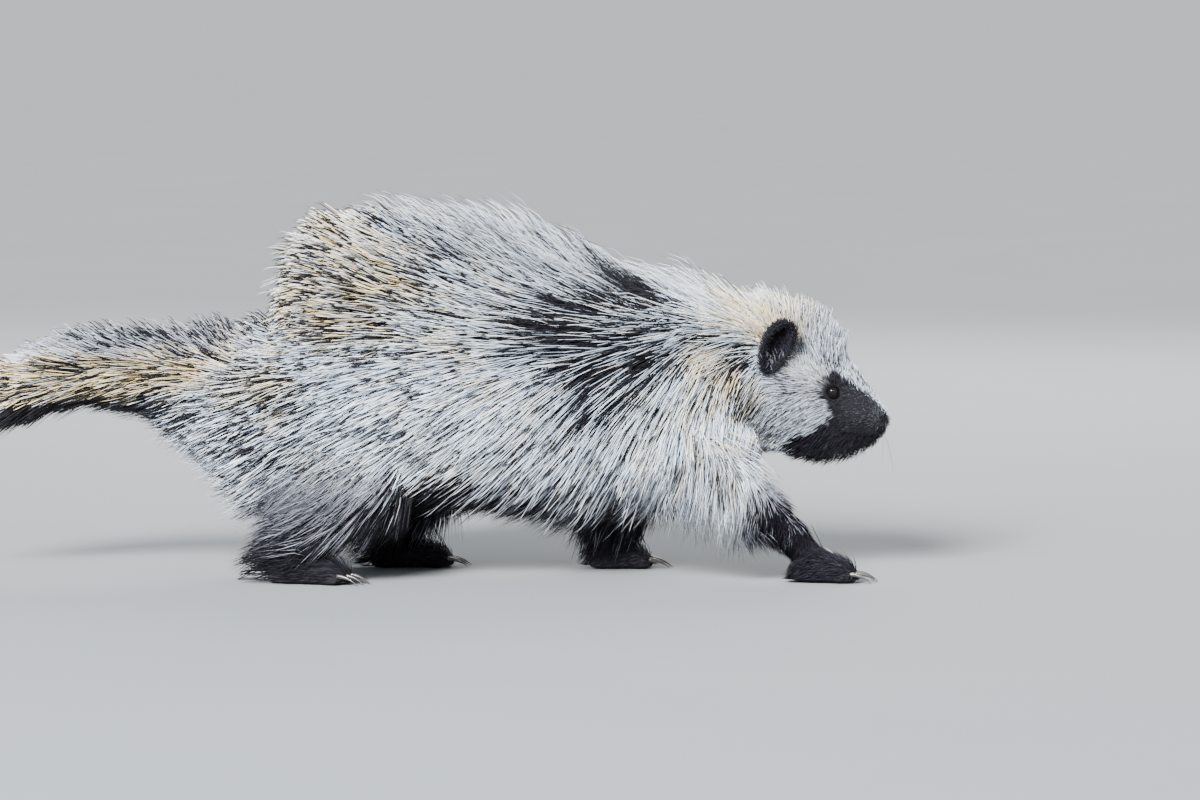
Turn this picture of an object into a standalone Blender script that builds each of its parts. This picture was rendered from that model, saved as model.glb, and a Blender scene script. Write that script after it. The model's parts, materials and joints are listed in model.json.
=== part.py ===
"""A North American porcupine in mid stride, life size, as a still museum model.

Metres, +Z up, nose towards +X, its left side towards +Y. The body is one loft from tail tip to nose, parted
by thin cuts into lengths. Legs, feet, ears and eyes are pieces of their own. The coat is broad tapered locks
with stiff quills between them, each rooted in the piece that it grows from and lying the way the hair grows.
"""

import math
import random
from collections import namedtuple

import bmesh
import bpy
from mathutils import Matrix, Vector
from mathutils.bvhtree import BVHTree

GAP = 0.0003
BODY_SIDES = 22
LIMB_SIDES = 11

# One cross-section of the body: its centre in the sagittal plane, how far its top leans towards the nose in
# degrees, its half width, its height above and depth below the centre, and the rings up to the next section.
Station = namedtuple("Station", "x z lean wide up down rings")
BODY_LINE = (
    Station(-0.432, 0.135, -26, 0.004, 0.004, 0.004, 1),
    Station(-0.427, 0.138, -26, 0.013, 0.010, 0.010, 1),
    Station(-0.412, 0.150, -26, 0.021, 0.017, 0.015, 1),
    Station(-0.378, 0.166, -22, 0.027, 0.021, 0.019, 2),
    Station(-0.329, 0.182, -16, 0.032, 0.024, 0.022, 1),
    Station(-0.274, 0.189, -6, 0.036, 0.027, 0.025, 1),
    Station(-0.224, 0.183, 2, 0.044, 0.032, 0.028, 2),
    Station(-0.184, 0.170, 4, 0.058, 0.043, 0.044, 2),
    Station(-0.149, 0.166, 4, 0.076, 0.054, 0.068, 2),
    Station(-0.109, 0.176, 2, 0.091, 0.098, 0.092, 2),
    Station(-0.069, 0.184, 0, 0.101, 0.134, 0.106, 2),
    Station(-0.014, 0.188, 0, 0.107, 0.138, 0.112, 2),
    Station(0.046, 0.188, 0, 0.108, 0.132, 0.110, 2),
    Station(0.101, 0.184, 0, 0.104, 0.122, 0.101, 2),
    Station(0.151, 0.178, 0, 0.098, 0.108, 0.093, 2),
    Station(0.196, 0.175, 2, 0.091, 0.094, 0.089, 2),
    Station(0.236, 0.177, 4, 0.083, 0.081, 0.082, 2),
    Station(0.271, 0.182, 6, 0.071, 0.070, 0.071, 2),
    Station(0.304, 0.187, 8, 0.060, 0.062, 0.062, 2),
    Station(0.331, 0.186, 10, 0.055, 0.063, 0.062, 2),
    Station(0.356, 0.180, 12, 0.052, 0.062, 0.060, 2),
    Station(0.381, 0.169, 15, 0.046, 0.057, 0.057, 3),
    Station(0.403, 0.158, 16, 0.038, 0.046, 0.046, 2),
    Station(0.421, 0.151, 14, 0.031, 0.035, 0.035, 2),
    Station(0.434, 0.148, 10, 0.027, 0.0245, 0.0225, 1),
    Station(0.4415, 0.148, 8, 0.021, 0.018, 0.016, 1),
    Station(0.4455, 0.148, 6, 0.012, 0.010, 0.009, 1),
)

# Where the body is parted: a point of the cut and how far its top leans towards the nose, in degrees.
Cut = namedtuple("Cut", "x z lean")
TAIL_TIP_CUT = Cut(-0.312, 0.185, -14)
TAIL_CUT = Cut(-0.190, 0.170, 4)
RUMP_CUT = Cut(-0.112, 0.176, -6)
NECK_CUT = Cut(0.232, 0.177, 4)
HEAD_CUT = Cut(0.306, 0.187, 8)

EYE_RADIUS = 0.0056
EYE_X = 0.3935
EYE_Z = 0.1750
EYE_SINK = 0.0026
LID_RADIUS = 0.0014
LID_LENGTHEN = 1.16
LID_REACH = 0.98
LID_LIFT = 0.45

EAR_X = 0.341
EAR_Z = 0.2130
EAR_OUT = 0.0655
EAR_HALF = (0.0180, 0.0115, 0.0265)
EAR_WALL = 0.0022
EAR_BASE_HALF = (0.0115, 0.0105, 0.0150)
EAR_BASE_DROP = 0.0080
EAR_BASE_SINK = 0.0018
EAR_MOUTH = 0.42
EAR_TURN = 38.0
EAR_LEAN = 20.0

MOUTH_CORNER_X = 0.407
MOUTH_Z = 0.1290
MOUTH_DROP = 0.0030
MOUTH_POINTS = 11
LIP_RADIUS = 0.0025
LIP_APART = 0.0046
LIP_SINK = 0.0010
NOSTRIL_Y = 0.0100
NOSTRIL_Z = 0.1495
NOSTRIL_HALF = (0.0036, 0.0022, 0.0032)

# A limb section lies flat: its centre, with y on the limb's own side, half width, and reach forward and back.
Limb = namedtuple("Limb", "x y z wide fore aft")
FORE_NEAR = (
    Limb(0.216, 0.040, 0.165, 0.034, 0.040, 0.040),
    Limb(0.258, 0.058, 0.116, 0.029, 0.042, 0.038),
    Limb(0.310, 0.066, 0.076, 0.023, 0.030, 0.026),
    Limb(0.348, 0.066, 0.048, 0.018, 0.020, 0.020),
    Limb(0.368, 0.065, 0.026, 0.016, 0.016, 0.016),
    Limb(0.374, 0.065, 0.012, 0.012, 0.012, 0.012),
)
FORE_FAR = (
    Limb(0.216, 0.040, 0.165, 0.034, 0.040, 0.040),
    Limb(0.214, 0.058, 0.116, 0.029, 0.038, 0.038),
    Limb(0.200, 0.068, 0.074, 0.023, 0.025, 0.025),
    Limb(0.188, 0.066, 0.044, 0.018, 0.018, 0.018),
    Limb(0.186, 0.065, 0.024, 0.016, 0.016, 0.016),
    Limb(0.187, 0.065, 0.012, 0.012, 0.012, 0.012),
)
HIND_NEAR = (
    Limb(-0.059, 0.048, 0.175, 0.044, 0.060, 0.060),
    Limb(-0.044, 0.062, 0.120, 0.036, 0.056, 0.058),
    Limb(-0.050, 0.073, 0.080, 0.030, 0.040, 0.044),
    Limb(-0.082, 0.075, 0.048, 0.022, 0.024, 0.026),
    Limb(-0.106, 0.074, 0.024, 0.017, 0.017, 0.018),
    Limb(-0.106, 0.074, 0.012, 0.013, 0.013, 0.013),
)
HIND_FAR = (
    Limb(-0.059, 0.048, 0.175, 0.044, 0.060, 0.060),
    Limb(-0.026, 0.062, 0.120, 0.036, 0.056, 0.058),
    Limb(-0.006, 0.073, 0.080, 0.030, 0.040, 0.042),
    Limb(-0.008, 0.075, 0.046, 0.022, 0.024, 0.026),
    Limb(-0.016, 0.074, 0.024, 0.017, 0.017, 0.018),
    Limb(-0.016, 0.074, 0.012, 0.013, 0.013, 0.013),
)
ANKLE_Z = 0.030

# A foot section stands across the foot, counted from its heel: centre height, half width, above and below.
Sole = namedtuple("Sole", "x z wide up down")
FORE_FOOT = (
    Sole(-0.006, 0.014, 0.004, 0.004, 0.004),
    Sole(-0.001, 0.014, 0.013, 0.012, 0.017),
    Sole(0.014, 0.016, 0.017, 0.016, 0.022),
    Sole(0.031, 0.013, 0.019, 0.012, 0.018),
    Sole(0.045, 0.010, 0.018, 0.009, 0.014),
    Sole(0.053, 0.008, 0.012, 0.006, 0.010),
    Sole(0.056, 0.008, 0.004, 0.002, 0.003),
)
HIND_FOOT = (
    Sole(-0.006, 0.013, 0.004, 0.004, 0.004),
    Sole(0.000, 0.014, 0.014, 0.012, 0.018),
    Sole(0.018, 0.016, 0.017, 0.016, 0.022),
    Sole(0.042, 0.013, 0.019, 0.013, 0.018),
    Sole(0.060, 0.011, 0.020, 0.010, 0.014),
    Sole(0.071, 0.008, 0.014, 0.006, 0.010),
    Sole(0.075, 0.008, 0.004, 0.002, 0.003),
)
TOE_RADIUS = 0.0050
TOE_LENGTH = 0.016
TOE_SPREAD = 7.0
TOE_Z = 0.0043
TOE_ROW_WIDTH = 0.80
OUTER_TOE_BACK = 0.007
TOE_PROFILE = ((0.0, 0.85), (0.7, 1.0), (1.0, 0.55))
CLAW_START = 0.0128
CLAW_LENGTH = 0.019
CLAW_RADIUS = 0.0023
CLAW_TAPER = 0.86
CLAW_FLATNESS = 0.80
CLAW_STEPS = (0.0, 0.55, 1.0)
CLAW_TIP = 0.0004
CLAW_RISE = 0.0035

RIGHT, LEFT = -1, 1
SIDE_NAME = {RIGHT: "right", LEFT: "left"}
Leg = namedtuple("Leg", "kind side line foot heel_x foot_y toe_out toes")
LEGS = (
    Leg("fore", RIGHT, FORE_NEAR, FORE_FOOT, 0.360, 0.065, 6, 4),
    Leg("fore", LEFT, FORE_FAR, FORE_FOOT, 0.172, 0.065, 10, 4),
    Leg("hind", RIGHT, HIND_NEAR, HIND_FOOT, -0.124, 0.074, 12, 5),
    Leg("hind", LEFT, HIND_FAR, HIND_FOOT, -0.034, 0.074, 12, 5),
)

# How the coat grows at a landmark, the same on both sides: the place, the length of the hair, its angle off
# the surface in degrees, and the distance from one lock to the next.
Coat = namedtuple("Coat", "x y z length pitch spacing")
BODY_COAT = (
    Coat(0.270, 0.000, 0.255, 0.048, 26, 0.0240),
    Coat(0.262, 0.052, 0.228, 0.050, 17, 0.0210),
    Coat(0.310, 0.000, 0.250, 0.034, 42, 0.0215),
    Coat(0.354, 0.000, 0.245, 0.023, 56, 0.0185),
    Coat(0.390, 0.000, 0.222, 0.018, 46, 0.0180),
    Coat(0.412, 0.000, 0.200, 0.009, 24, 0.0160),
    Coat(0.400, 0.034, 0.182, 0.007, 14, 0.0170),
    Coat(0.368, 0.048, 0.205, 0.016, 26, 0.0200),
    Coat(0.370, 0.050, 0.160, 0.020, 12, 0.0220),
    Coat(0.345, 0.000, 0.120, 0.017, 10, 0.0220),
    Coat(0.400, 0.000, 0.113, 0.006, 10, 0.0220),
    Coat(0.430, 0.020, 0.150, 0.004, 10, 0.0220),
    Coat(0.300, 0.060, 0.190, 0.044, 14, 0.0190),
    Coat(0.270, 0.040, 0.125, 0.050, 12, 0.0220),
    Coat(0.215, 0.086, 0.165, 0.070, 13, 0.0245),
    Coat(0.220, 0.080, 0.110, 0.066, 12, 0.0265),
    Coat(0.190, 0.000, 0.270, 0.072, 18, 0.0250),
    Coat(0.060, 0.000, 0.320, 0.068, 17, 0.0260),
    Coat(-0.070, 0.000, 0.318, 0.062, 34, 0.0240),
    Coat(-0.125, 0.000, 0.250, 0.050, 40, 0.0230),
    Coat(0.060, 0.105, 0.200, 0.076, 12, 0.0285),
    Coat(-0.080, 0.098, 0.190, 0.072, 14, 0.0270),
    Coat(0.060, 0.085, 0.110, 0.070, 12, 0.0280),
    Coat(-0.140, 0.060, 0.120, 0.064, 17, 0.0260),
    Coat(0.060, 0.000, 0.078, 0.034, 8, 0.0400),
    Coat(-0.185, 0.000, 0.212, 0.042, 36, 0.0240),
    Coat(-0.190, 0.055, 0.170, 0.048, 18, 0.0250),
    Coat(-0.290, 0.000, 0.215, 0.036, 34, 0.0205),
    Coat(-0.290, 0.036, 0.190, 0.042, 13, 0.0210),
    Coat(-0.290, 0.000, 0.163, 0.024, 9, 0.0300),
    Coat(-0.400, 0.000, 0.170, 0.027, 26, 0.0190),
    Coat(-0.428, 0.000, 0.138, 0.023, 20, 0.0180),
)
# Added to a squared distance, so that a landmark's own place isn't divided by nothing.
AT_LANDMARK = 1e-5
LEG_COAT = {
    "fore": (Coat(0.0, 0.0, 0.035, 0.030, 14, 0.0170), Coat(0.0, 0.0, 0.115, 0.050, 15, 0.0210)),
    "hind": (Coat(0.0, 0.0, 0.035, 0.040, 15, 0.0190), Coat(0.0, 0.0, 0.115, 0.056, 15, 0.0230)),
}
LEG_LIE = {"fore": Vector((-0.50, 0.0, -0.86)), "hind": Vector((-0.88, 0.0, -0.48))}
NAPE = Vector((0.292, 0.0, 0.262))
NOSE_TIP = Vector((0.458, 0.0, 0.165))
HEAD_LIE_FROM = 0.285
HEAD_LIE_OVER = 0.050
TAIL_LIE_FROM = -0.150
TAIL_LIE_OVER = 0.060
TAIL_LIE = Vector((-1.0, 0.0, -0.10))
TAIL_AXIS_Z = 0.18
TAIL_FAN = 2.0
RUMP_DROOP = 1.5

# A lock's sections: share of its length, share of its full width, share of its full thickness.
LOCK_PROFILE = ((0.24, 1.0, 1.0), (0.62, 0.80, 0.62))
LOCK_WIDTH = 0.54
LOCK_THICKNESS = 0.056
LOCK_ROOT_WIDTH = 0.55
LOCK_ROOT_THICKNESS = 0.45
SPREAD = 1.26
QUILL_ROOT_WIDTH = 0.9
QUILL_PROFILE = ((0.45, 1.0, 1.0),)
QUILL_WIDTH = 0.030
QUILL_LEAST_WIDTH = 0.0018
QUILL_FLATNESS = 0.85
QUILL_LIFT = 10.0
QUILL_LONGER = 1.12
CREST_PITCH = 38.0
SINK = 0.0046
SETBACK = 0.0035
SAG = 0.22
# How far past a skin a lock is lifted where it would dip into it: at its root, and how much more at its tip.
CLEAR_OF_SKIN = 0.0012
CLEAR_AT_TIP = 0.0040
SKIN_REACH = 0.030
LENGTH_VARIES = (0.88, 1.10)
PITCH_VARIES = 2.0
SWING_VARIES = 5.0
ROOT_LEAST_DEPTH = 0.0008
# The room that the coat keeps to: above the floor, within a half width, and no further back than this.
FLOOR_CLEARANCE = 0.004
COAT_HALF_WIDTH = 0.1285
COAT_END_X = -0.4470
LOWEST_ROOT = ANKLE_Z + 0.006
COAT_SEED = 11
THROWS = 6000
# Each time over the body: whether quills are set, the shortest that is, how much wider apart than the coat's
# own spacing, and between which pitches.
Sweep = namedtuple("Sweep", "quill shortest wider flattest steepest")
LOCKS = Sweep(False, 0.021, 1.00, 0.0, CREST_PITCH)
CREST_QUILLS = Sweep(True, 0.010, 0.60, CREST_PITCH, 90.0)
BACK_QUILLS = Sweep(True, 0.021, 1.80, 19.0, CREST_PITCH)

PALE = ("coat_pale", (0.55, 0.52, 0.45), 0.75)
DARK = ("coat_dark", (0.035, 0.03, 0.032), 0.8)
EYE_BLACK = ("eye_black", (0.006, 0.005, 0.006), 0.08)

# Where a ray towards the body starts, well outside it.
FAR_OUT = 0.6

ACROSS = Vector((0.0, 1.0, 0.0))
FORWARD = Vector((1.0, 0.0, 0.0))
UPWARD = Vector((0.0, 0.0, 1.0))


def clear_scene():
    for obj in list(bpy.data.objects):
        bpy.data.objects.remove(obj, do_unlink=True)


def new_collection(name, hidden=False):
    made = bpy.data.collections.new(name)
    bpy.context.scene.collection.children.link(made)
    made.hide_render = hidden
    return made


def material(finish):
    """A Principled BSDF from a name, a colour and a roughness, made once."""
    name, colour, roughness = finish
    found = bpy.data.materials.get(name)
    if found:
        return found
    made = bpy.data.materials.new(name)
    made.use_nodes = True
    shader = made.node_tree.nodes["Principled BSDF"]
    shader.inputs["Base Color"].default_value = (*colour, 1.0)
    shader.inputs["Roughness"].default_value = roughness
    shader.inputs["Metallic"].default_value = 0.0
    return made


def make_object(name, bm, collection, finish=PALE):
    """A new object in the collection, from a bmesh that is then freed."""
    mesh = bpy.data.meshes.new(name)
    bm.to_mesh(mesh)
    bm.free()
    obj = bpy.data.objects.new(name, mesh)
    obj.data.materials.append(material(finish))
    collection.objects.link(obj)
    return obj


def boolean(obj, operation, helpers, solver="EXACT"):
    """Joins the helper objects to one object or cuts them from it, and removes them."""
    group = bpy.data.collections.new("helpers")
    bpy.context.scene.collection.children.link(group)
    for helper in helpers:
        for owner in list(helper.users_collection):
            owner.objects.unlink(helper)
        group.objects.link(helper)
    modifier = obj.modifiers.new("join", "BOOLEAN")
    modifier.operation = operation
    modifier.solver = solver
    modifier.operand_type = "COLLECTION"
    modifier.collection = group
    bpy.context.view_layer.update()
    graph = bpy.context.evaluated_depsgraph_get()
    result = bpy.data.meshes.new_from_object(obj.evaluated_get(graph))
    finish = obj.data.materials[0]
    obj.modifiers.remove(modifier)
    obj.data = result
    obj.data.materials.clear()
    obj.data.materials.append(finish)
    obj.data.name = obj.name
    for helper in helpers:
        bpy.data.objects.remove(helper, do_unlink=True)
    bpy.data.collections.remove(group)


def islands_of(bm):
    """The closed surfaces of a mesh, each as its vertices, the largest first."""
    unseen = set(bm.verts)
    islands = []
    while unseen:
        stack = [unseen.pop()]
        island = list(stack)
        while stack:
            for edge in stack.pop().link_edges:
                for vert in edge.verts:
                    if vert in unseen:
                        unseen.remove(vert)
                        stack.append(vert)
                        island.append(vert)
        islands.append(island)
    return sorted(islands, key=len, reverse=True)


def keep_largest(obj):
    """Drops every closed surface of the object but the largest."""
    bm = bmesh.new()
    bm.from_mesh(obj.data)
    loose = [vert for island in islands_of(bm)[1:] for vert in island]
    bmesh.ops.delete(bm, geom=loose, context="VERTS")
    bm.to_mesh(obj.data)
    bm.free()


def catmull(rows, position):
    """The Catmull-Rom value of a table of number rows at a position counted in rows."""
    last = len(rows) - 1
    index = min(int(position), last - 1)
    t = position - index
    before, start = rows[max(index - 1, 0)], rows[index]
    end, after = rows[index + 1], rows[min(index + 2, last)]
    return [
        0.5 * (2 * b + (c - a) * t + (2 * a - 5 * b + 4 * c - d) * t * t + (3 * b - a - 3 * c + d) * t**3)
        for a, b, c, d in zip(before, start, end, after, strict=True)
    ]


def oval(centre, side, up, wide, above, below, count):
    """A ring that is an ellipse with one height above its centre and another below."""
    ring = []
    for k in range(count):
        angle = 2 * math.pi * (k + 0.5) / count
        rise = math.sin(angle)
        ring.append(centre + side * (wide * math.cos(angle)) + up * (rise * (above if rise > 0 else below)))
    return ring


def skin_over(rings):
    """A closed loft: quads from ring to ring and a fan of triangles on each end."""
    bm = bmesh.new()
    loops = [[bm.verts.new(point) for point in ring] for ring in rings]
    count = len(rings[0])
    for first, second in zip(loops, loops[1:], strict=False):
        for k in range(count):
            after = (k + 1) % count
            bm.faces.new((first[k], first[after], second[after], second[k]))
    for loop in (loops[0], loops[-1]):
        middle = bm.verts.new(sum((vert.co for vert in loop), Vector()) / count)
        for k in range(count):
            bm.faces.new((loop[k], loop[(k + 1) % count], middle))
    bmesh.ops.recalc_face_normals(bm, faces=bm.faces)
    return bm


def leaning(degrees):
    """The upward axis of a section whose top leans towards the nose."""
    angle = math.radians(degrees)
    return Vector((math.sin(angle), 0.0, math.cos(angle)))


def body_rings(grow):
    """The body's rings from tail tip to nose, each grown outwards by what the function gives at its x."""
    rows = [tuple(station[:6]) for station in BODY_LINE]
    rings = []
    for index, station in enumerate(BODY_LINE):
        steps = station.rings if index < len(BODY_LINE) - 1 else 1
        for step in range(steps):
            x, z, lean, wide, up, down = catmull(rows, index + step / steps)
            more = grow(x)
            centre = Vector((x, 0.0, z))
            rings.append(oval(centre, ACROSS, leaning(lean), wide + more, up + more, down + more, BODY_SIDES))
    return rings


def cut_plane(cut, towards_nose):
    """A point and a normal of one face of a thin cut, the normal pointing out of the piece that is kept."""
    up = leaning(cut.lean)
    along = Vector((up.z, 0.0, -up.x))
    facing = -1 if towards_nose else 1
    return Vector((cut.x, 0.0, cut.z)) - along * (facing * GAP / 2), along * facing


def trim(bm, point, normal):
    """Cuts away what lies beyond the plane and closes the hole."""
    geometry = bm.verts[:] + bm.edges[:] + bm.faces[:]
    cut = bmesh.ops.bisect_plane(bm, geom=geometry, plane_co=point, plane_no=normal, clear_outer=True)
    edges = [item for item in cut["geom_cut"] if isinstance(item, bmesh.types.BMEdge)]
    bmesh.ops.holes_fill(bm, edges=edges)
    bmesh.ops.recalc_face_normals(bm, faces=bm.faces)


def body_part(name, collection, back_cut, front_cut, grow, finish=PALE):
    """The length of the body between two cuts."""
    bm = skin_over(body_rings(grow))
    if back_cut:
        trim(bm, *cut_plane(back_cut, True))
    if front_cut:
        trim(bm, *cut_plane(front_cut, False))
    return make_object(name, bm, collection, finish)


def surface_tree(obj):
    bm = bmesh.new()
    bm.from_mesh(obj.data)
    tree = BVHTree.FromBMesh(bm)
    bm.free()
    return tree


def ball(name, collection, centre, radii, finish=EYE_BLACK, columns=12, rows=7, turn=None):
    """An ellipsoid with its own half sizes along X, Y and Z, turned and then placed."""
    bm = bmesh.new()
    bmesh.ops.create_uvsphere(bm, u_segments=columns, v_segments=rows, radius=1.0)
    shape = Matrix.Diagonal((*radii, 1.0))
    place = Matrix.Translation(centre) @ (turn.to_4x4() if turn else Matrix.Identity(4)) @ shape
    bmesh.ops.transform(bm, matrix=place, verts=bm.verts)
    return make_object(name, bm, collection, finish)


def side_of(tree, x, z, side):
    """Where the body's side lies at a place, with its outward normal."""
    place, normal, _, _ = tree.ray_cast(Vector((x, side * FAR_OUT, z)), -ACROSS * side)
    return place, normal


def lid(collection, centre, normal, side):
    """The rim of both lids: a soft ring round the eye, drawn out towards the corners."""
    around, across = 12, 5
    turn = normal.to_track_quat("Z", "X").to_matrix()
    lift = EYE_RADIUS * LID_LIFT
    rings = []
    for i in range(around):
        angle = 2 * math.pi * i / around
        outward = turn @ Vector((math.cos(angle) * LID_LENGTHEN, math.sin(angle), 0.0))
        middle = centre + outward * (EYE_RADIUS * LID_REACH) + normal * lift
        outward.normalize()
        rings.append(
            [
                middle + (outward * math.cos(turned) + normal * math.sin(turned)) * LID_RADIUS
                for turned in (2 * math.pi * j / across for j in range(across))
            ]
        )
    bm = bmesh.new()
    loops = [[bm.verts.new(point) for point in ring] for ring in rings]
    for i in range(around):
        first, second = loops[i], loops[(i + 1) % around]
        for j in range(across):
            after = (j + 1) % across
            bm.faces.new((first[j], second[j], second[after], first[after]))
    bmesh.ops.recalc_face_normals(bm, faces=bm.faces)
    return make_object(f"lid_{SIDE_NAME[side]}", bm, collection)


def mouth_line(tree, shift):
    """Points on the muzzle from one corner of the mouth round the front to the other."""
    points = []
    for k in range(MOUTH_POINTS):
        angle = math.pi * (k / (MOUTH_POINTS - 1) - 0.5)
        aim = Vector((MOUTH_CORNER_X, 0.0, MOUTH_Z + shift - MOUTH_DROP * math.cos(angle)))
        away = Vector((math.cos(angle), math.sin(angle), 0.0))
        place, normal, _, _ = tree.ray_cast(aim + away * FAR_OUT, -away)
        points.append(place - normal * LIP_SINK)
    return points


def tube(name, collection, points, radius, sides=5):
    """A closed tube along points, thinner towards both ends."""
    rings = []
    for k, point in enumerate(points):
        along = (points[min(k + 1, len(points) - 1)] - points[max(k - 1, 0)]).normalized()
        side = along.cross(UPWARD).normalized()
        up = side.cross(along)
        share = math.sin(math.pi * (k + 0.6) / (len(points) + 0.2)) ** 0.5
        rings.append(oval(point, side, up, radius * share, radius * share, radius * share, sides))
    return make_object(name, skin_over(rings), collection)


def ear_place(side):
    """From an ear's own frame, its cup opening along Y, to its place on the head."""
    turn = Matrix.Rotation(math.radians(-EAR_TURN), 4, "Z") @ Matrix.Rotation(math.radians(-EAR_LEAN), 4, "X")
    return Matrix.Diagonal((1.0, side, 1.0, 1.0)) @ Matrix.Translation((EAR_X, EAR_OUT, EAR_Z)) @ turn


def ear(collection, helpers, side):
    """A rounded cup with its own wall, open outwards and forwards, on a short thick base."""
    bm = bmesh.new()
    bmesh.ops.create_uvsphere(bm, u_segments=12, v_segments=8, radius=1.0)
    mouth = [vert for vert in bm.verts if vert.co.y > EAR_MOUTH]
    bmesh.ops.delete(bm, geom=mouth, context="VERTS")
    bmesh.ops.transform(bm, matrix=Matrix.Diagonal((*EAR_HALF, 1.0)), verts=bm.verts)
    made = make_object(f"ear_{SIDE_NAME[side]}", bm, collection, DARK)
    wall = made.modifiers.new("wall", "SOLIDIFY")
    wall.thickness = EAR_WALL
    wall.offset = -1.0
    bpy.context.view_layer.update()
    graph = bpy.context.evaluated_depsgraph_get()
    made.data = bpy.data.meshes.new_from_object(made.evaluated_get(graph))
    made.modifiers.clear()
    behind = EAR_HALF[1] + EAR_BASE_HALF[1] - EAR_BASE_SINK
    base = ball("ear_base", helpers, Vector((0.0, -behind, -EAR_BASE_DROP)), EAR_BASE_HALF)
    boolean(made, "UNION", [base], "MANIFOLD")
    bm = bmesh.new()
    bm.from_mesh(made.data)
    bmesh.ops.transform(bm, matrix=ear_place(side), verts=bm.verts)
    bmesh.ops.recalc_face_normals(bm, faces=bm.faces)
    bm.to_mesh(made.data)
    bm.free()
    return made


def limb_rings(leg, grow):
    rows = [tuple(section) for section in leg.line]
    steps = 2
    rings = []
    for k in range((len(rows) - 1) * steps + 1):
        x, y, z, wide, fore, aft = catmull(rows, min(k / steps, len(rows) - 1))
        centre = Vector((x, leg.side * y, z))
        rings.append(oval(centre, ACROSS, FORWARD, wide + grow, fore + grow, aft + grow, LIMB_SIDES))
    return rings


def foot_matrix(leg):
    """From the foot's own frame, heel at the origin and toes along X, to its place."""
    turn = Matrix.Rotation(math.radians(leg.toe_out * leg.side), 4, "Z")
    return Matrix.Translation(Vector((leg.heel_x, leg.side * leg.foot_y, 0.0))) @ turn


def toe_with_claw(collection, leg, index):
    """One toe and its claw, fanned out from the others. The claw bends down until its tip nears the floor."""
    share = index / (leg.toes - 1) * 2 - 1
    front = leg.foot[4]
    turn = Matrix.Rotation(math.radians(share * TOE_SPREAD), 4, "Z")
    start = Vector((front.x - abs(share) * OUTER_TOE_BACK, share * front.wide * TOE_ROW_WIDTH, TOE_Z))
    place = foot_matrix(leg) @ Matrix.Translation(start) @ turn
    toe = []
    for step, size in TOE_PROFILE:
        radius = TOE_RADIUS * size
        toe.append(oval(FORWARD * (TOE_LENGTH * step), ACROSS, UPWARD, radius, radius, radius, 6))
    claw = []
    for step in CLAW_STEPS:
        radius = CLAW_RADIUS * (1.0 - CLAW_TAPER * step)
        height = CLAW_RISE * (1 - step * step) + (CLAW_TIP + radius - TOE_Z) * step * step
        middle = Vector((CLAW_START + CLAW_LENGTH * step, 0.0, height))
        claw.append(oval(middle, ACROSS, UPWARD, radius * CLAW_FLATNESS, radius, radius, 4))
    made = []
    for rings in (toe, claw):
        bm = skin_over([[place @ point for point in ring] for ring in rings])
        made.append(make_object("toe", bm, collection, DARK))
    return made


def foot(collection, leg):
    """The foot with its toes and claws, cut flat where it stands."""
    rings = []
    place = foot_matrix(leg)
    for x, z, wide, up, down in leg.foot:
        ring = oval(Vector((x, 0.0, z)), ACROSS, UPWARD, wide, up, down, LIMB_SIDES)
        rings.append([place @ point for point in ring])
    made = make_object(f"foot_{leg.kind}_{SIDE_NAME[leg.side]}", skin_over(rings), collection, DARK)
    pieces = [piece for k in range(leg.toes) for piece in toe_with_claw(collection, leg, k)]
    boolean(made, "UNION", pieces, "MANIFOLD")
    bm = bmesh.new()
    bm.from_mesh(made.data)
    trim(bm, Vector((0.0, 0.0, 0.0)), -UPWARD)
    trim(bm, Vector((0.0, 0.0, ANKLE_Z - GAP)), UPWARD)
    bm.to_mesh(made.data)
    bm.free()
    return made


def smooth_step(value):
    t = min(max(value, 0.0), 1.0)
    return t * t * (3 - 2 * t)


def body_coat_at(point):
    """The coat's length, pitch and spacing at a point of the body, from the nearest landmarks."""
    total = 0.0
    sums = [0.0, 0.0, 0.0]
    for mark in BODY_COAT:
        off = Vector((point.x - mark.x, abs(point.y) - mark.y, point.z - mark.z))
        weight = 1.0 / (off.length_squared + AT_LANDMARK) ** 2
        total += weight
        for k, value in enumerate((mark.length, mark.pitch, mark.spacing)):
            sums[k] += weight * value
    return [value / total for value in sums]


def leg_coat_at(point, low, high):
    """A leg's coat, which grows longer from the ankle up."""
    share = smooth_step((point.z - low.z) / (high.z - low.z))
    return [a + (b - a) * share for a, b in zip(low[3:], high[3:], strict=True)]


def body_lie_at(point):
    """The way the hair points: from the nape over the body, back from the nose, and along the tail."""
    from_nape = point - NAPE
    if point.x < TAIL_LIE_FROM + 2 * TAIL_LIE_OVER:
        from_nape.z *= RUMP_DROOP
    from_nose = point - NOSE_TIP
    lie = from_nape.normalized()
    lie = lie.lerp(from_nose.normalized(), smooth_step((point.x - HEAD_LIE_FROM) / HEAD_LIE_OVER))
    along_tail = TAIL_LIE + Vector((0.0, point.y, point.z - TAIL_AXIS_Z)) * TAIL_FAN
    return lie.lerp(along_tail.normalized(), smooth_step((TAIL_LIE_FROM - point.x) / TAIL_LIE_OVER))


Bristle = namedtuple("Bristle", "tree points faces middle reach")


def bristle(rings):
    """A closed tapered spike of three-sided rings, its last point the tip, with its own search tree."""
    points = [point for ring in rings[:-1] for point in ring] + [rings[-1]]
    faces = [(0, 2, 1)]
    for k in range(len(rings) - 2):
        for side in range(3):
            near, far = 3 * k + side, 3 * k + (side + 1) % 3
            faces.append((near, far, far + 3, near + 3))
    top = 3 * (len(rings) - 2)
    faces.extend((top + side, top + (side + 1) % 3, len(points) - 1) for side in range(3))
    middle = sum(points, Vector()) / len(points)
    reach = max((point - middle).length for point in points)
    return Bristle(BVHTree.FromPolygons(points, faces), points, faces, middle, reach)


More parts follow.
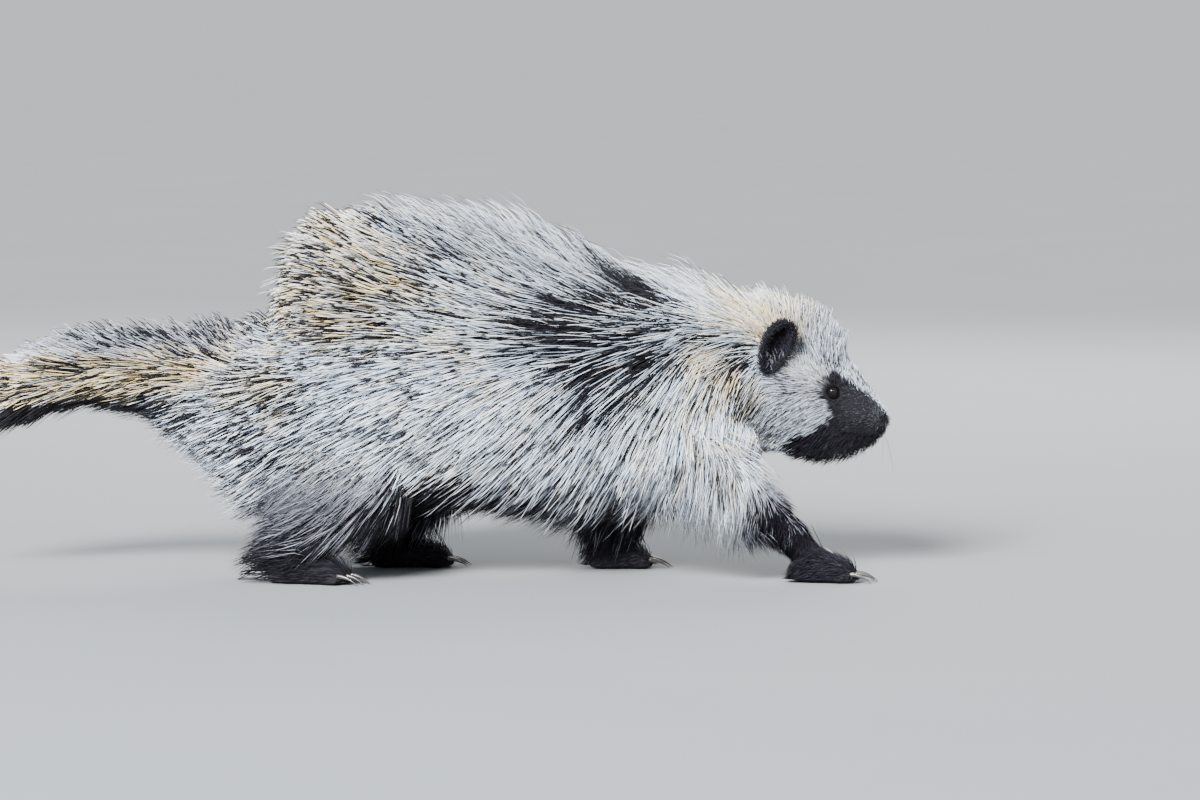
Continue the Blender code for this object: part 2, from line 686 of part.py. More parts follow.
def lock_rings(root, normal, lie, length, pitch, width, thickness, profile, root_width, skins, extra=0.0):
    """The rings of one lock or quill, which rises from its root and bends back towards the lie."""
    side = normal.cross(lie).normalized()
    angle = math.radians(pitch)
    start = root - normal * SINK - lie * SETBACK
    path = [(start, root_width, LOCK_ROOT_THICKNESS)]
    for share, wide, thick in (*profile, (1.0, 0.0, 0.0)):
        height = length * math.sin(angle) * (share - SAG * share * share) / (1.0 - SAG)
        point = root + lie * (length * share * math.cos(angle)) + normal * height
        for tree in skins:
            place, outward, _, _ = tree.find_nearest(point)
            lack = thickness * 0.5 + CLEAR_OF_SKIN + CLEAR_AT_TIP * share - (point - place).dot(outward)
            if (point - place).length < SKIN_REACH and lack > 0:
                point = point + outward * lack
        path.append((point, wide, thick))
    rings = []
    for k, (point, wide, thick) in enumerate(path[:-1]):
        along = (path[k + 1][0] - path[max(k - 1, 0)][0]).normalized()
        across = (side - along * side.dot(along)).normalized()
        up = along.cross(across)
        half = across * (width * wide / 2 + extra)
        high = up * (thickness * thick + extra)
        rings.append((point + half - up * extra, point + high, point - half - up * extra))
    tip, _, _ = path[-1]
    along = (tip - path[-2][0]).normalized()
    rings.append(tip + along * extra)
    return rings


def in_room(point):
    return point.z > FLOOR_CLEARANCE and abs(point.y) < COAT_HALF_WIDTH and point.x > COAT_END_X


def touches(candidate, others):
    return sum(
        1
        for other in others
        if (other.middle - candidate.middle).length < other.reach + candidate.reach
        and other.tree.overlap(candidate.tree)
    )


class Skin:
    """A surface that hair grows from: its faces by area, its search tree and the rule for its coat."""

    def __init__(self, rings, coat_at, lie_at):
        bm = skin_over(rings)
        bmesh.ops.triangulate(bm, faces=bm.faces)
        self.tree = BVHTree.FromBMesh(bm)
        self.triangles = [[vert.co.copy() for vert in face.verts] for face in bm.faces]
        self.areas = [face.calc_area() for face in bm.faces]
        bm.free()
        self.coat_at = coat_at
        self.lie_at = lie_at

    def throw(self, draw):
        """A random point of the surface, even over its area."""
        first, second, third = draw.choices(self.triangles, self.areas)[0]
        u, v = draw.random(), draw.random()
        if u + v > 1.0:
            u, v = 1.0 - u, 1.0 - v
        return first + (second - first) * u + (third - first) * v

    def depth(self, point):
        """How far a point near the surface lies under it."""
        place, normal, _, _ = self.tree.find_nearest(point)
        return (place - point).dot(normal)

    def holds(self, point):
        """Whether a point is inside, from how often a ray up from it crosses the surface."""
        crossings = 0
        while True:
            place, _, _, _ = self.tree.ray_cast(point, UPWARD)
            if place is None:
                return crossings % 2 == 1
            crossings += 1
            point = place + UPWARD * 1e-5


def scatter(skin, draw, sweep, plant):
    """Throws roots on a skin, and plants each that has no other root nearer than the spacing there."""
    planted = []
    for _ in range(THROWS):
        root = skin.throw(draw)
        length, pitch, spacing = skin.coat_at(root)
        if length < sweep.shortest or not sweep.flattest <= pitch < sweep.steepest:
            continue
        spacing *= sweep.wider * SPREAD
        if any((other - root).length < spacing for other in planted):
            continue
        if plant(root, length, pitch):
            planted.append(root)


# Ways a lock may give way to its neighbours: more pitch in degrees, a swing sideways, a share of its length.
WAYS = (
    (0, 0, 1.0),
    (4, 0, 1.0),
    (-3, 5, 1.0),
    (3, -7, 0.95),
    (9, 0, 0.9),
    (0, 12, 0.8),
    (6, -14, 0.75),
    (14, 0, 0.7),
    (2, 0, 0.55),
)


class CoatGrower:
    """Grows locks and quills on the nodes, each clear of every other node and of the floor."""

    def __init__(self, nodes, skins):
        self.nodes = {obj.name: surface_tree(obj) for obj in nodes}
        self.skins = skins
        self.grown = {obj.name: [] for obj in nodes}

    def others(self, name):
        return [lock for node, locks in self.grown.items() if node != name for lock in locks]

    def grow(self, name, skin, root, length, pitch, quill, draw):
        """One lock or quill at a root, in the first way that fits, or none."""
        place, normal, _, _ = skin.tree.find_nearest(root)
        lie = skin.lie_at(root)
        lie = (lie - normal * lie.dot(normal)).normalized()
        length *= draw.uniform(*LENGTH_VARIES)
        pitch += draw.uniform(-PITCH_VARIES, PITCH_VARIES)
        lie.rotate(Matrix.Rotation(math.radians(draw.uniform(-SWING_VARIES, SWING_VARIES)), 3, normal))
        if quill:
            width = QUILL_LEAST_WIDTH + length * QUILL_WIDTH
            size = (width, width * QUILL_FLATNESS, QUILL_PROFILE, QUILL_ROOT_WIDTH)
            pitch += QUILL_LIFT
            length *= QUILL_LONGER
        else:
            size = (length * LOCK_WIDTH, length * LOCK_THICKNESS, LOCK_PROFILE, LOCK_ROOT_WIDTH)
        fallback = None
        for more, swing, share in WAYS:
            turned = lie.copy()
            turned.rotate(Matrix.Rotation(math.radians(swing), 3, normal))
            shape = (root, normal, turned, length * share, pitch + more, *size, self.skins)
            wide = bristle(lock_rings(*shape, extra=GAP))
            if not all(in_room(point) for point in wide.points):
                continue
            if any(tree.overlap(wide.tree) for node, tree in self.nodes.items() if node != name):
                continue
            if touches(wide, self.others(name)):
                continue
            exact = bristle(lock_rings(*shape))
            if min(skin.depth(point) for point in exact.points[:3]) < ROOT_LEAST_DEPTH:
                continue
            met = touches(wide, self.grown[name])
            if met == 0:
                self.grown[name].append(exact)
                return True
            if fallback is None and met == 1 and not quill:
                fallback = exact
        if fallback:
            self.grown[name].append(fallback)
        return bool(fallback)

    def join(self, obj, helpers):
        """Fuses what has grown on a node with it."""
        pieces = []
        for lock in self.grown[obj.name]:
            bm = bmesh.new()
            verts = [bm.verts.new(point) for point in lock.points]
            for face in lock.faces:
                bm.faces.new([verts[index] for index in face])
            bmesh.ops.recalc_face_normals(bm, faces=bm.faces)
            pieces.append(make_object("lock", bm, helpers))
        if pieces:
            boolean(obj, "UNION", pieces, "MANIFOLD")
            keep_largest(obj)


def no_growth(x):
    return 0.0


def gap_growth(x):
    return GAP


def make_head(parts, helpers, body_tree):
    """The head with lids, lips and nostrils, the sockets cut for both eyes, and the eyes themselves."""
    head = body_part("head", parts, HEAD_CUT, None, no_growth)
    added, cut, eyes = [], [], []
    for side in (RIGHT, LEFT):
        place, normal = side_of(body_tree, EYE_X, EYE_Z, side)
        centre = place - normal * EYE_SINK
        eyes.append(ball(f"eye_{SIDE_NAME[side]}", parts, centre, (EYE_RADIUS,) * 3))
        cut.append(ball("socket", helpers, centre, (EYE_RADIUS + GAP,) * 3))
        added.append(lid(helpers, centre, normal, side))
        nose, _, _, _ = body_tree.ray_cast(Vector((FAR_OUT, side * NOSTRIL_Y, NOSTRIL_Z)), -FORWARD)
        cut.append(ball("nostril", helpers, nose, NOSTRIL_HALF, columns=8, rows=6))
    for shift in (LIP_APART / 2, -LIP_APART / 2):
        added.append(tube("lip", helpers, mouth_line(body_tree, shift), LIP_RADIUS))
    boolean(head, "UNION", added, "MANIFOLD")
    boolean(head, "DIFFERENCE", cut, "MANIFOLD")
    keep_largest(head)
    return [head, *eyes]


def make_leg(parts, helpers, leg):
    """A leg down to the ankle, cut clear of the body, and its foot."""
    bm = skin_over(limb_rings(leg, 0.0))
    trim(bm, Vector((0.0, 0.0, ANKLE_Z)), -UPWARD)
    made = make_object(f"{leg.kind}leg_{SIDE_NAME[leg.side]}", bm, parts)
    grown_body = make_object("grown_body", skin_over(body_rings(gap_growth)), helpers)
    boolean(made, "DIFFERENCE", [grown_body], "MANIFOLD")
    keep_largest(made)
    return [made, foot(parts, leg)]


def make_ear(parts, helpers, side):
    made = ear(parts, helpers, side)
    grown_body = make_object("grown_body", skin_over(body_rings(gap_growth)), helpers)
    boolean(made, "DIFFERENCE", [grown_body], "MANIFOLD")
    keep_largest(made)
    return made


def body_node_at(point):
    """The node of the body that a point of its surface belongs to."""
    for name, cut in (
        ("tail_tip", TAIL_TIP_CUT),
        ("tail_base", TAIL_CUT),
        ("rump", RUMP_CUT),
        ("torso", NECK_CUT),
        ("neck", HEAD_CUT),
    ):
        place, normal = cut_plane(cut, False)
        if (point - place).dot(normal) < 0:
            return name
    return "head"


def build():
    clear_scene()
    parts = new_collection("porcupine")
    helpers = new_collection("cutters", hidden=True)
    body = Skin(body_rings(no_growth), body_coat_at, body_lie_at)

    nodes = [
        body_part("tail_tip", parts, None, TAIL_TIP_CUT, no_growth),
        body_part("tail_base", parts, TAIL_TIP_CUT, TAIL_CUT, no_growth),
        body_part("rump", parts, TAIL_CUT, RUMP_CUT, no_growth),
        body_part("torso", parts, RUMP_CUT, NECK_CUT, no_growth),
        body_part("neck", parts, NECK_CUT, HEAD_CUT, no_growth),
    ]
    nodes.extend(make_head(parts, helpers, body.tree))
    nodes.extend(make_ear(parts, helpers, side) for side in (RIGHT, LEFT))
    limbs = {}
    for leg in LEGS:
        nodes.extend(make_leg(parts, helpers, leg))
        limbs[f"{leg.kind}leg_{SIDE_NAME[leg.side]}"] = Skin(
            limb_rings(leg, 0.0),
            lambda point, kind=leg.kind: leg_coat_at(point, *LEG_COAT[kind]),
            lambda point, kind=leg.kind: LEG_LIE[kind],
        )

    draw = random.Random(COAT_SEED)
    grower = CoatGrower(nodes, [body.tree, *(limb.tree for limb in limbs.values())])
    for sweep in (LOCKS, CREST_QUILLS, BACK_QUILLS):

        def plant_on_body(root, length, pitch, quill=sweep.quill):
            buried = any(limb.holds(root) for limb in limbs.values())
            return not buried and grower.grow(body_node_at(root), body, root, length, pitch, quill, draw)

        scatter(body, draw, sweep, plant_on_body)
    for name, limb in limbs.items():

        def plant_on_limb(root, length, pitch, name=name, limb=limb):
            buried = body.holds(root) or root.z < LOWEST_ROOT
            return not buried and grower.grow(name, limb, root, length, pitch, False, draw)

        scatter(limb, draw, LOCKS, plant_on_limb)
    for obj in nodes:
        grower.join(obj, helpers)


build()
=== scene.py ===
"""A pale North American porcupine in mid stride, dressed as a museum shows it.

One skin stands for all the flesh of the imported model. Over it lie quills, guard hair, wool and short fur,
each strand a thin closed mesh that is rooted in the skin and follows the lie of the coat. Eyes, lids, ears,
claws and whiskers are pieces of their own. Metres, +Z up, nose towards +X, the animal's left side towards +Y.
"""

import json
import logging
import math
from dataclasses import astuple, dataclass
from enum import Enum
from typing import Callable

import bmesh
import bpy
import numpy as np
from mathutils import Matrix, Vector
from mathutils.kdtree import KDTree

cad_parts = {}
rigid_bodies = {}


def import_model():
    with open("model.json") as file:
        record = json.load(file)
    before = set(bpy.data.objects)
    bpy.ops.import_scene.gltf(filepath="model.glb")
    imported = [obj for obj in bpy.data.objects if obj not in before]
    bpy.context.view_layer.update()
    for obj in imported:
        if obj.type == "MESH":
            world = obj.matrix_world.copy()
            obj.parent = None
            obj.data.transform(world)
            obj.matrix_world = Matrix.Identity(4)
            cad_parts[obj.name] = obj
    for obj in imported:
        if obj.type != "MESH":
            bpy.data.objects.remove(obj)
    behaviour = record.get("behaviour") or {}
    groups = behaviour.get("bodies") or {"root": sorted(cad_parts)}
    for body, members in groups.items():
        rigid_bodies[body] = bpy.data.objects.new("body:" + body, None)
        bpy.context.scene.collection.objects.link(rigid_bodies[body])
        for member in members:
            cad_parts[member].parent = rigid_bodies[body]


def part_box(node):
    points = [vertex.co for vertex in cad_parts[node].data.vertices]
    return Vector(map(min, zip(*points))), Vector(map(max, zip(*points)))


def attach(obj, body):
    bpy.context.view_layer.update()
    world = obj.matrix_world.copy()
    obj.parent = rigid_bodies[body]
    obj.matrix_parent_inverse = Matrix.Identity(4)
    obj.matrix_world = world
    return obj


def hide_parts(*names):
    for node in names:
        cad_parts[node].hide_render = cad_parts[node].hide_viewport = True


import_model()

Array = np.ndarray
# How thickly strands grow at places of the skin that face certain ways.
Where = Callable[[np.ndarray, np.ndarray], np.ndarray]
Colour = tuple[float, float, float]
Socket = bpy.types.NodeSocket
Tree = bpy.types.NodeTree
Object = bpy.types.Object

log = logging.getLogger("porcupine")

BODY = "root"
UNWRAP = "OFBake"
# How wide a strand's patch on the unwrap is.
PATCH = 0.003
# The lowest that a strand reaches, and the level that soles and claws are pressed flat at.
LOWEST = 0.0035
SOLE_LEVEL = 0.0006
# How far sideways strands reach freely, and how much further the longest of them may.
SIDE_ROOM = 0.1150
SIDE_GIVE = 0.0180
# A place for the dark tip past the strand's end, so that the strand has none.
NO_TIP = 1.2
# The least change of direction along a strand, by which its arc is divided.
LEAST_BEND = 1e-3
ACROSS = np.array((0.0, 1.0, 0.0))
FORWARD = np.array((1.0, 0.0, 0.0))
UPWARD = np.array((0.0, 0.0, 1.0))
RIGHT, LEFT = -1, 1
SIDE_NAME = {RIGHT: "right", LEFT: "left"}


class Slot(Enum):
    """The material slots that the record names."""

    COAT = "coat"
    DARK_FUR = "dark_fur"
    EYE = "eye"
    CLAW = "claw"


def unit(vectors: Array) -> Array:
    """Vectors scaled to length one."""
    return vectors / np.maximum(np.linalg.norm(vectors, axis=-1, keepdims=True), 1e-9)


def ease(value: Array, low: float, high: float) -> Array:
    """A smooth step from 0 at low to 1 at high."""
    t = np.clip((value - low) / (high - low), 0.0, 1.0)
    return t * t * (3.0 - 2.0 * t)


def within(value: Array, start: float, full: float, fade: float, end: float) -> Array:
    """1 between full and fade, with a smooth fall to 0 at start and at end."""
    return ease(value, start, full) * (1.0 - ease(value, fade, end))


def bell(distance: Array, width: float, power: int = 2) -> Array:
    """A hump that is 1 at distance 0 and nearly gone at twice its width."""
    return np.exp(-((distance / width) ** power))


def along_skin(ways: Array, normals: Array) -> Array:
    """Ways turned into the skin's own surface, at length one."""
    return unit(ways - normals * (ways * normals).sum(axis=1, keepdims=True))


def records(kind: type, *rows: tuple) -> tuple:
    """One record of a kind for each row of its values."""
    return tuple(kind(*row) for row in rows)


def rows_of(table: tuple) -> Array:
    """The values of a table of records as rows."""
    return np.array([astuple(record) for record in table], dtype=float)


@dataclass(frozen=True)
class Ripple:
    """A smooth random field: its strength, how far apart its crests lie, and which of the fields it is."""

    amount: float
    size: float
    seed: int
    waves: int = 7
    spread: tuple[float, float] = (0.6, 1.4)

    def at(self, points: Array) -> Array:
        """The field's value at each point, about as far from 0 as its amount at the most."""
        draw = np.random.default_rng(self.seed)
        ways = unit(draw.normal(size=(self.waves, 3))) * (math.tau / self.size)
        ways = ways * draw.uniform(*self.spread, (self.waves, 1))
        starts = draw.uniform(0.0, math.tau, self.waves)
        return self.amount * (np.sin(points @ ways.T + starts).sum(axis=1) / math.sqrt(self.waves))


def spline(rows: Array, at: Array) -> Array:
    """Catmull-Rom values of a table.

    Args:
        rows: The table, one row a knot.
        at: Positions counted in rows.

    Returns:
        One row for each position.
    """
    last = len(rows) - 1
    index = np.clip(at.astype(int), 0, last - 1)
    t = (at - index)[:, None]
    before, start = rows[np.maximum(index - 1, 0)], rows[index]
    end, after = rows[index + 1], rows[np.minimum(index + 2, last)]
    square = 2 * before - 5 * start + 4 * end - after
    cube = 3 * start - before - 3 * end + after
    return 0.5 * (2 * start + (end - before) * t + square * t**2 + cube * t**3)


def deselect_all() -> None:
    """Leaves nothing selected, so that the next operator acts on its own object only."""
    for obj in bpy.context.view_layer.objects:
        obj.select_set(False)


def take_up(obj: Object) -> None:
    """Makes an object the only one that is selected, and the active one."""
    deselect_all()
    obj.select_set(True)
    bpy.context.view_layer.objects.active = obj


def apply_modifiers(obj: Object) -> None:
    """Applies all of an object's modifiers in order."""
    take_up(obj)
    for modifier in list(obj.modifiers):
        bpy.ops.object.modifier_apply(modifier=modifier.name)


def settle(obj: Object) -> None:
    """Puts an object's place, turn and size into its mesh."""
    take_up(obj)
    bpy.ops.object.transform_apply(location=True, rotation=True, scale=True)


def moved(points: Array, place: Matrix) -> Array:
    """Points of a frame of their own, at its place."""
    matrix = np.array(place)
    return points @ matrix[:3, :3].T + matrix[:3, 3]


def mesh_object(name: str, points: Array, faces: list[Array]) -> Object:
    """A new object from arrays.

    Args:
        name: The object's name.
        points: Its vertices, one row each.
        faces: Arrays of vertex numbers, each array with faces of one size.

    Returns:
        The object, linked to the scene.
    """
    mesh = bpy.data.meshes.new(name)
    mesh.vertices.add(len(points))
    mesh.vertices.foreach_set("co", np.ascontiguousarray(points, dtype=np.float32).ravel())
    corners = np.concatenate([group.ravel() for group in faces])
    sizes = np.concatenate([np.full(len(group), group.shape[1]) for group in faces])
    mesh.loops.add(len(corners))
    mesh.loops.foreach_set("vertex_index", corners.astype(np.int32))
    mesh.polygons.add(len(sizes))
    mesh.polygons.foreach_set("loop_start", np.concatenate(([0], np.cumsum(sizes)[:-1])).astype(np.int32))
    mesh.update(calc_edges=True)
    mesh.shade_smooth()
    obj = bpy.data.objects.new(name, mesh)
    bpy.context.scene.collection.objects.link(obj)
    return obj


def give_attribute(obj: Object, name: str, values: Array) -> None:
    """Stores one number or one vector for each vertex of an object's mesh."""
    wide = values.ndim == 2
    made = obj.data.attributes.new(name, "FLOAT_VECTOR" if wide else "FLOAT", "POINT")
    numbers = np.ascontiguousarray(values, dtype=np.float32).ravel()
    made.data.foreach_set("vector" if wide else "value", numbers)


def vertices_of(obj: Object, what: str = "co") -> Array:
    """An object's vertices as rows: their places, or with "normal" their smooth normals."""
    rows = np.empty(len(obj.data.vertices) * 3, dtype=np.float32)
    obj.data.vertices.foreach_get(what, rows)
    return rows.reshape(-1, 3).astype(float)


def set_vertices(obj: Object, points: Array) -> None:
    """Moves an object's vertices to new places."""
    obj.data.vertices.foreach_set("co", points.astype(np.float32).ravel())
    obj.data.update()


def hand_over(piece: Object, finish: "Finish", slot: Slot, *nodes: str) -> Object:
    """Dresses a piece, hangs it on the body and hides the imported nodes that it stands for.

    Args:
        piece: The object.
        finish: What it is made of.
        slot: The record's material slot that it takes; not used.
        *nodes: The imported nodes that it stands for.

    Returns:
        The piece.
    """
    piece.data.materials.append(finish.material())
    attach(piece, BODY)
    if nodes:
        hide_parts(*nodes)
    triangles = sum(len(polygon.vertices) - 2 for polygon in piece.data.polygons)
    log.info("%s: %d triangles", piece.name, triangles)
    return piece


# How much further out than the skin a point counts for each metre past the end of a body or leg.
BEYOND = 100.0


@dataclass(frozen=True)
class Section:
    """A section across the body: its centre, its top's lean in degrees, its half width and its reach."""

    x: float
    z: float
    lean: float
    wide: float
    up: float
    down: float


@dataclass(frozen=True)
class LimbSection:
    """A level section of a limb: its centre, y on the limb's own side, half width, reach fore and aft."""

    x: float
    y: float
    z: float
    wide: float
    fore: float
    aft: float


@dataclass(frozen=True)
class SoleSection:
    """A section across a foot, counted from its heel: centre height, half width, and reach up and down."""

    x: float
    z: float
    wide: float
    up: float
    down: float


def loft_faces(rings: int, sides: int) -> list[Array]:
    """Faces of a closed loft whose last two vertices are the middles of its ends.

    Args:
        rings: How many rings of vertices there are.
        sides: How many vertices a ring has.

    Returns:
        The quads between rings and the triangles of both end fans.
    """
    ring, side = np.meshgrid(np.arange(rings - 1), np.arange(sides), indexing="ij")
    here, after = ring * sides + side, ring * sides + (side + 1) % sides
    quads = np.stack((here, after, after + sides, here + sides), axis=-1).reshape(-1, 4)
    k = np.arange(sides)
    first = np.stack(((k + 1) % sides, k, np.full(sides, rings * sides)), axis=-1)
    top = (rings - 1) * sides
    last = np.stack((top + k, top + (k + 1) % sides, np.full(sides, rings * sides + 1)), axis=-1)
    return [quads, np.concatenate((first, last))]


def ovals(
    centres: Array, side: Array, up: Array, wide: Array, above: Array, below: Array, sides: int
) -> Array:
    """Rings of ellipses with one height above their centres and another below.

    Args:
        centres: The middles of the rings.
        side: The axis across, for each ring or for all of them.
        up: The axis up, for each ring or for all of them.
        wide: Half widths.
        above: Heights above the middles.
        below: Heights below the middles.
        sides: How many vertices a ring has.

    Returns:
        An array of rings, vertices and coordinates.
    """
    side, up = (np.broadcast_to(axis, centres.shape) for axis in (side, up))
    angle = math.tau * (np.arange(sides) + 0.5) / sides
    out, rise = np.cos(angle), np.sin(angle)
    height = np.where(rise > 0, above[:, None], below[:, None]) * rise
    across = side[:, None] * (wide[:, None] * out)[..., None]
    return centres[:, None] + across + up[:, None] * height[..., None]


def close_loft(rings: Array) -> tuple[Array, list[Array]]:
    """The vertices and faces of a closed loft over rings."""
    count, sides, _ = rings.shape
    middles = np.stack((rings[0].mean(axis=0), rings[-1].mean(axis=0)))
    return np.concatenate((rings.reshape(-1, 3), middles)), loft_faces(count, sides)


def loft_object(name: str, lofts: list[tuple[Array, list[Array]]]) -> Object:
    """One object from closed lofts, which may pass through each other.

    Args:
        name: The object's name.
        lofts: The vertices and the faces of each loft.

    Returns:
        The object, linked to the scene.
    """
    starts = np.cumsum([0, *(len(points) for points, _ in lofts)])
    groups = [np.concatenate([faces[k] + start for (_, faces), start in zip(lofts, starts)]) for k in (0, 1)]
    return mesh_object(name, np.concatenate([points for points, _ in lofts]), groups)


@dataclass(frozen=True)
class Trunk:
    """The body from tail tip to nose, as one loft over sections across the middle plane."""

    sections: tuple[Section, ...] = records(
        Section,
        (-0.432, 0.135, -26, 0.004, 0.004, 0.004),
        (-0.427, 0.138, -26, 0.013, 0.010, 0.010),
        (-0.412, 0.150, -26, 0.021, 0.017, 0.015),
        (-0.378, 0.166, -22, 0.027, 0.021, 0.019),
        (-0.329, 0.182, -16, 0.032, 0.024, 0.022),
        (-0.274, 0.189, -6, 0.036, 0.027, 0.025),
        (-0.224, 0.183, 2, 0.044, 0.032, 0.028),
        (-0.184, 0.170, 4, 0.058, 0.043, 0.044),
        (-0.149, 0.166, 4, 0.076, 0.046, 0.068),
        (-0.109, 0.176, 2, 0.091, 0.072, 0.092),
        (-0.069, 0.184, 0, 0.101, 0.120, 0.106),
        (-0.014, 0.188, 0, 0.107, 0.138, 0.112),
        (0.046, 0.188, 0, 0.108, 0.132, 0.110),
        (0.101, 0.184, 0, 0.104, 0.122, 0.101),
        (0.151, 0.178, 0, 0.098, 0.108, 0.093),
        (0.196, 0.175, 2, 0.091, 0.094, 0.089),
        (0.236, 0.177, 4, 0.083, 0.081, 0.082),
        (0.271, 0.182, 6, 0.071, 0.070, 0.071),
        (0.304, 0.187, 8, 0.060, 0.062, 0.062),
        (0.331, 0.186, 10, 0.055, 0.063, 0.062),
        (0.356, 0.180, 12, 0.052, 0.062, 0.060),
        (0.381, 0.169, 15, 0.046, 0.053, 0.058),
        (0.403, 0.158, 16, 0.038, 0.040, 0.048),
        (0.421, 0.151, 14, 0.031, 0.029, 0.037),
        (0.434, 0.146, 10, 0.026, 0.0195, 0.0235),
        (0.4405, 0.145, 8, 0.0195, 0.0125, 0.0150),
        (0.4440, 0.145, 6, 0.0110, 0.0065, 0.0085),
    )
    inset_x: tuple[float, ...] = (-0.43, -0.30, -0.15, 0.0, 0.20, 0.30, 0.35, 0.40, 0.4455)
    inset: tuple[float, ...] = (0.001, 0.004, 0.006, 0.008, 0.007, 0.0045, 0.003, 0.0012, 0.0005)
    steps: int = 7
    sides: int = 72

    def table(self) -> Array:
        """The sections as rows, drawn in by the depth of the coat's core."""
        rows = rows_of(self.sections)
        depth = np.interp(rows[:, 0], self.inset_x, self.inset)
        rows[:, 3:] -= depth[:, None]
        return rows

    def loft(self) -> tuple[Array, list[Array]]:
        """The closed loft of the body's skin."""
        rows = self.table()
        spans = len(rows) - 1
        x, z, lean, wide, up, down = spline(rows, np.linspace(0, spans, spans * self.steps + 1)).T
        angle = np.radians(lean)
        none = np.zeros_like(x)
        centres = np.stack((x, none, z), axis=-1)
        upward = np.stack((np.sin(angle), none, np.cos(angle)), axis=-1)
        return close_loft(ovals(centres, ACROSS, upward, wide, up, down, self.sides))

    def level(self, points: Array) -> Array:
        """How far out points lie: 0 on the body's axis, 1 on its skin and more outside it."""
        rows = self.table()
        z, wide, up, down = (np.interp(points[:, 0], rows[:, 0], rows[:, k]) for k in (1, 3, 4, 5))
        rise = points[:, 2] - z
        tall = np.where(rise > 0, up, down)
        beyond = np.maximum(points[:, 0] - rows[-1, 0], 0) + np.maximum(rows[0, 0] - points[:, 0], 0)
        return np.hypot(points[:, 1] / wide, rise / tall) + beyond * BEYOND

    def turn(self, points: Array) -> Array:
        """Where points lie round the body, from 0 to 1, with 0.5 on the back."""
        rows = self.table()
        rise = points[:, 2] - np.interp(points[:, 0], rows[:, 0], rows[:, 1])
        return np.arctan2(points[:, 1], rise) / math.tau + 0.5


@dataclass(frozen=True)
class Limb:
    """A leg and its foot."""

    name: str
    side: int
    sections: tuple[LimbSection, ...]
    soles: tuple[SoleSection, ...]
    heel_x: float
    foot_y: float
    toe_out: float
    toes: int
    inset: float = 0.0020
    sides: int = 40
    leg_rings: int = 41
    foot_rings: int = 37
    toe_section: int = 4
    toe_rings: int = 15
    toe_sides: int = 20
    toe_radius: float = 0.0050
    toe_slim: float = 0.80
    toe_swell: float = 0.22
    toe_close: float = 0.97
    toe_length: float = 0.016
    toe_start: float = -0.002
    toe_spread: float = 7.0
    toe_z: float = 0.0046
    toe_row: float = 0.80
    toe_back: float = 0.007

    def table(self) -> Array:
        """The sections as rows, drawn in by the coat's depth."""
        rows = rows_of(self.sections)
        rows[:, 1] *= self.side
        rows[:, 3:] -= self.inset
        return rows

    def loft(self) -> tuple[Array, list[Array]]:
        """The closed loft of the leg from inside the body to inside the foot."""
        rows = self.table()
        x, y, z, wide, fore, aft = spline(rows, np.linspace(0, len(rows) - 1, self.leg_rings)).T
        centres = np.stack((x, y, z), axis=-1)
        return close_loft(ovals(centres, ACROSS, FORWARD, wide, fore, aft, self.sides))

    def level(self, points: Array) -> Array:
        """How far out points lie: 0 on the leg's axis, 1 on its skin and more outside it."""
        rows = self.table()[::-1]
        x, y, wide, fore, aft = (np.interp(points[:, 2], rows[:, 2], rows[:, k]) for k in (0, 1, 3, 4, 5))
        ahead = points[:, 0] - x
        beyond = np.maximum(points[:, 2] - rows[-1, 2], 0) * BEYOND
        return np.hypot((points[:, 1] - y) / wide, ahead / np.where(ahead > 0, fore, aft)) + beyond

    def place(self) -> Matrix:
        """From the foot's own frame, heel at the origin and toes along X, to its place."""
        turn = Matrix.Rotation(math.radians(self.toe_out * self.side), 4, "Z")
        return Matrix.Translation((self.heel_x, self.side * self.foot_y, 0.0)) @ turn

    def foot_loft(self) -> tuple[Array, list[Array]]:
        """The closed loft of the foot, pressed flat where it stands."""
        rows = rows_of(self.soles)
        x, z, wide, up, down = spline(rows, np.linspace(0, len(rows) - 1, self.foot_rings)).T
        centres = np.stack((x, np.zeros_like(x), z), axis=-1)
        rings = ovals(centres, ACROSS, UPWARD, wide, up, down, self.sides)
        rings[..., 2] = np.maximum(rings[..., 2], SOLE_LEVEL)
        return close_loft(moved(rings, self.place()))

    def toe_frame(self, index: int) -> Matrix:
        """From one toe's own frame, pointing along X, to its place."""
        share = index / (self.toes - 1) * 2 - 1
        front = self.soles[self.toe_section]
        turn = Matrix.Rotation(math.radians(share * self.toe_spread), 4, "Z")
        start = (front.x - abs(share) * self.toe_back, share * front.wide * self.toe_row, self.toe_z)
        return self.place() @ Matrix.Translation(start) @ turn

    def toe_loft(self, index: int) -> tuple[Array, list[Array]]:
        """The closed loft of one toe with its knuckle and its pad."""
        s = np.linspace(0.0, 1.0, self.toe_rings)
        radius = self.toe_radius * (self.toe_slim + self.toe_swell * np.sin(math.pi * s))
        radius = radius * np.sqrt(1.0 - s**6 * self.toe_close)
        none = np.zeros_like(s)
        centres = np.stack((s * self.toe_length + self.toe_start, none, none), axis=-1)
        rings = ovals(centres, ACROSS, UPWARD, radius, radius, radius, self.toe_sides)
        rings = moved(rings, self.toe_frame(index))
        rings[..., 2] = np.maximum(rings[..., 2], SOLE_LEVEL)
        return close_loft(rings)


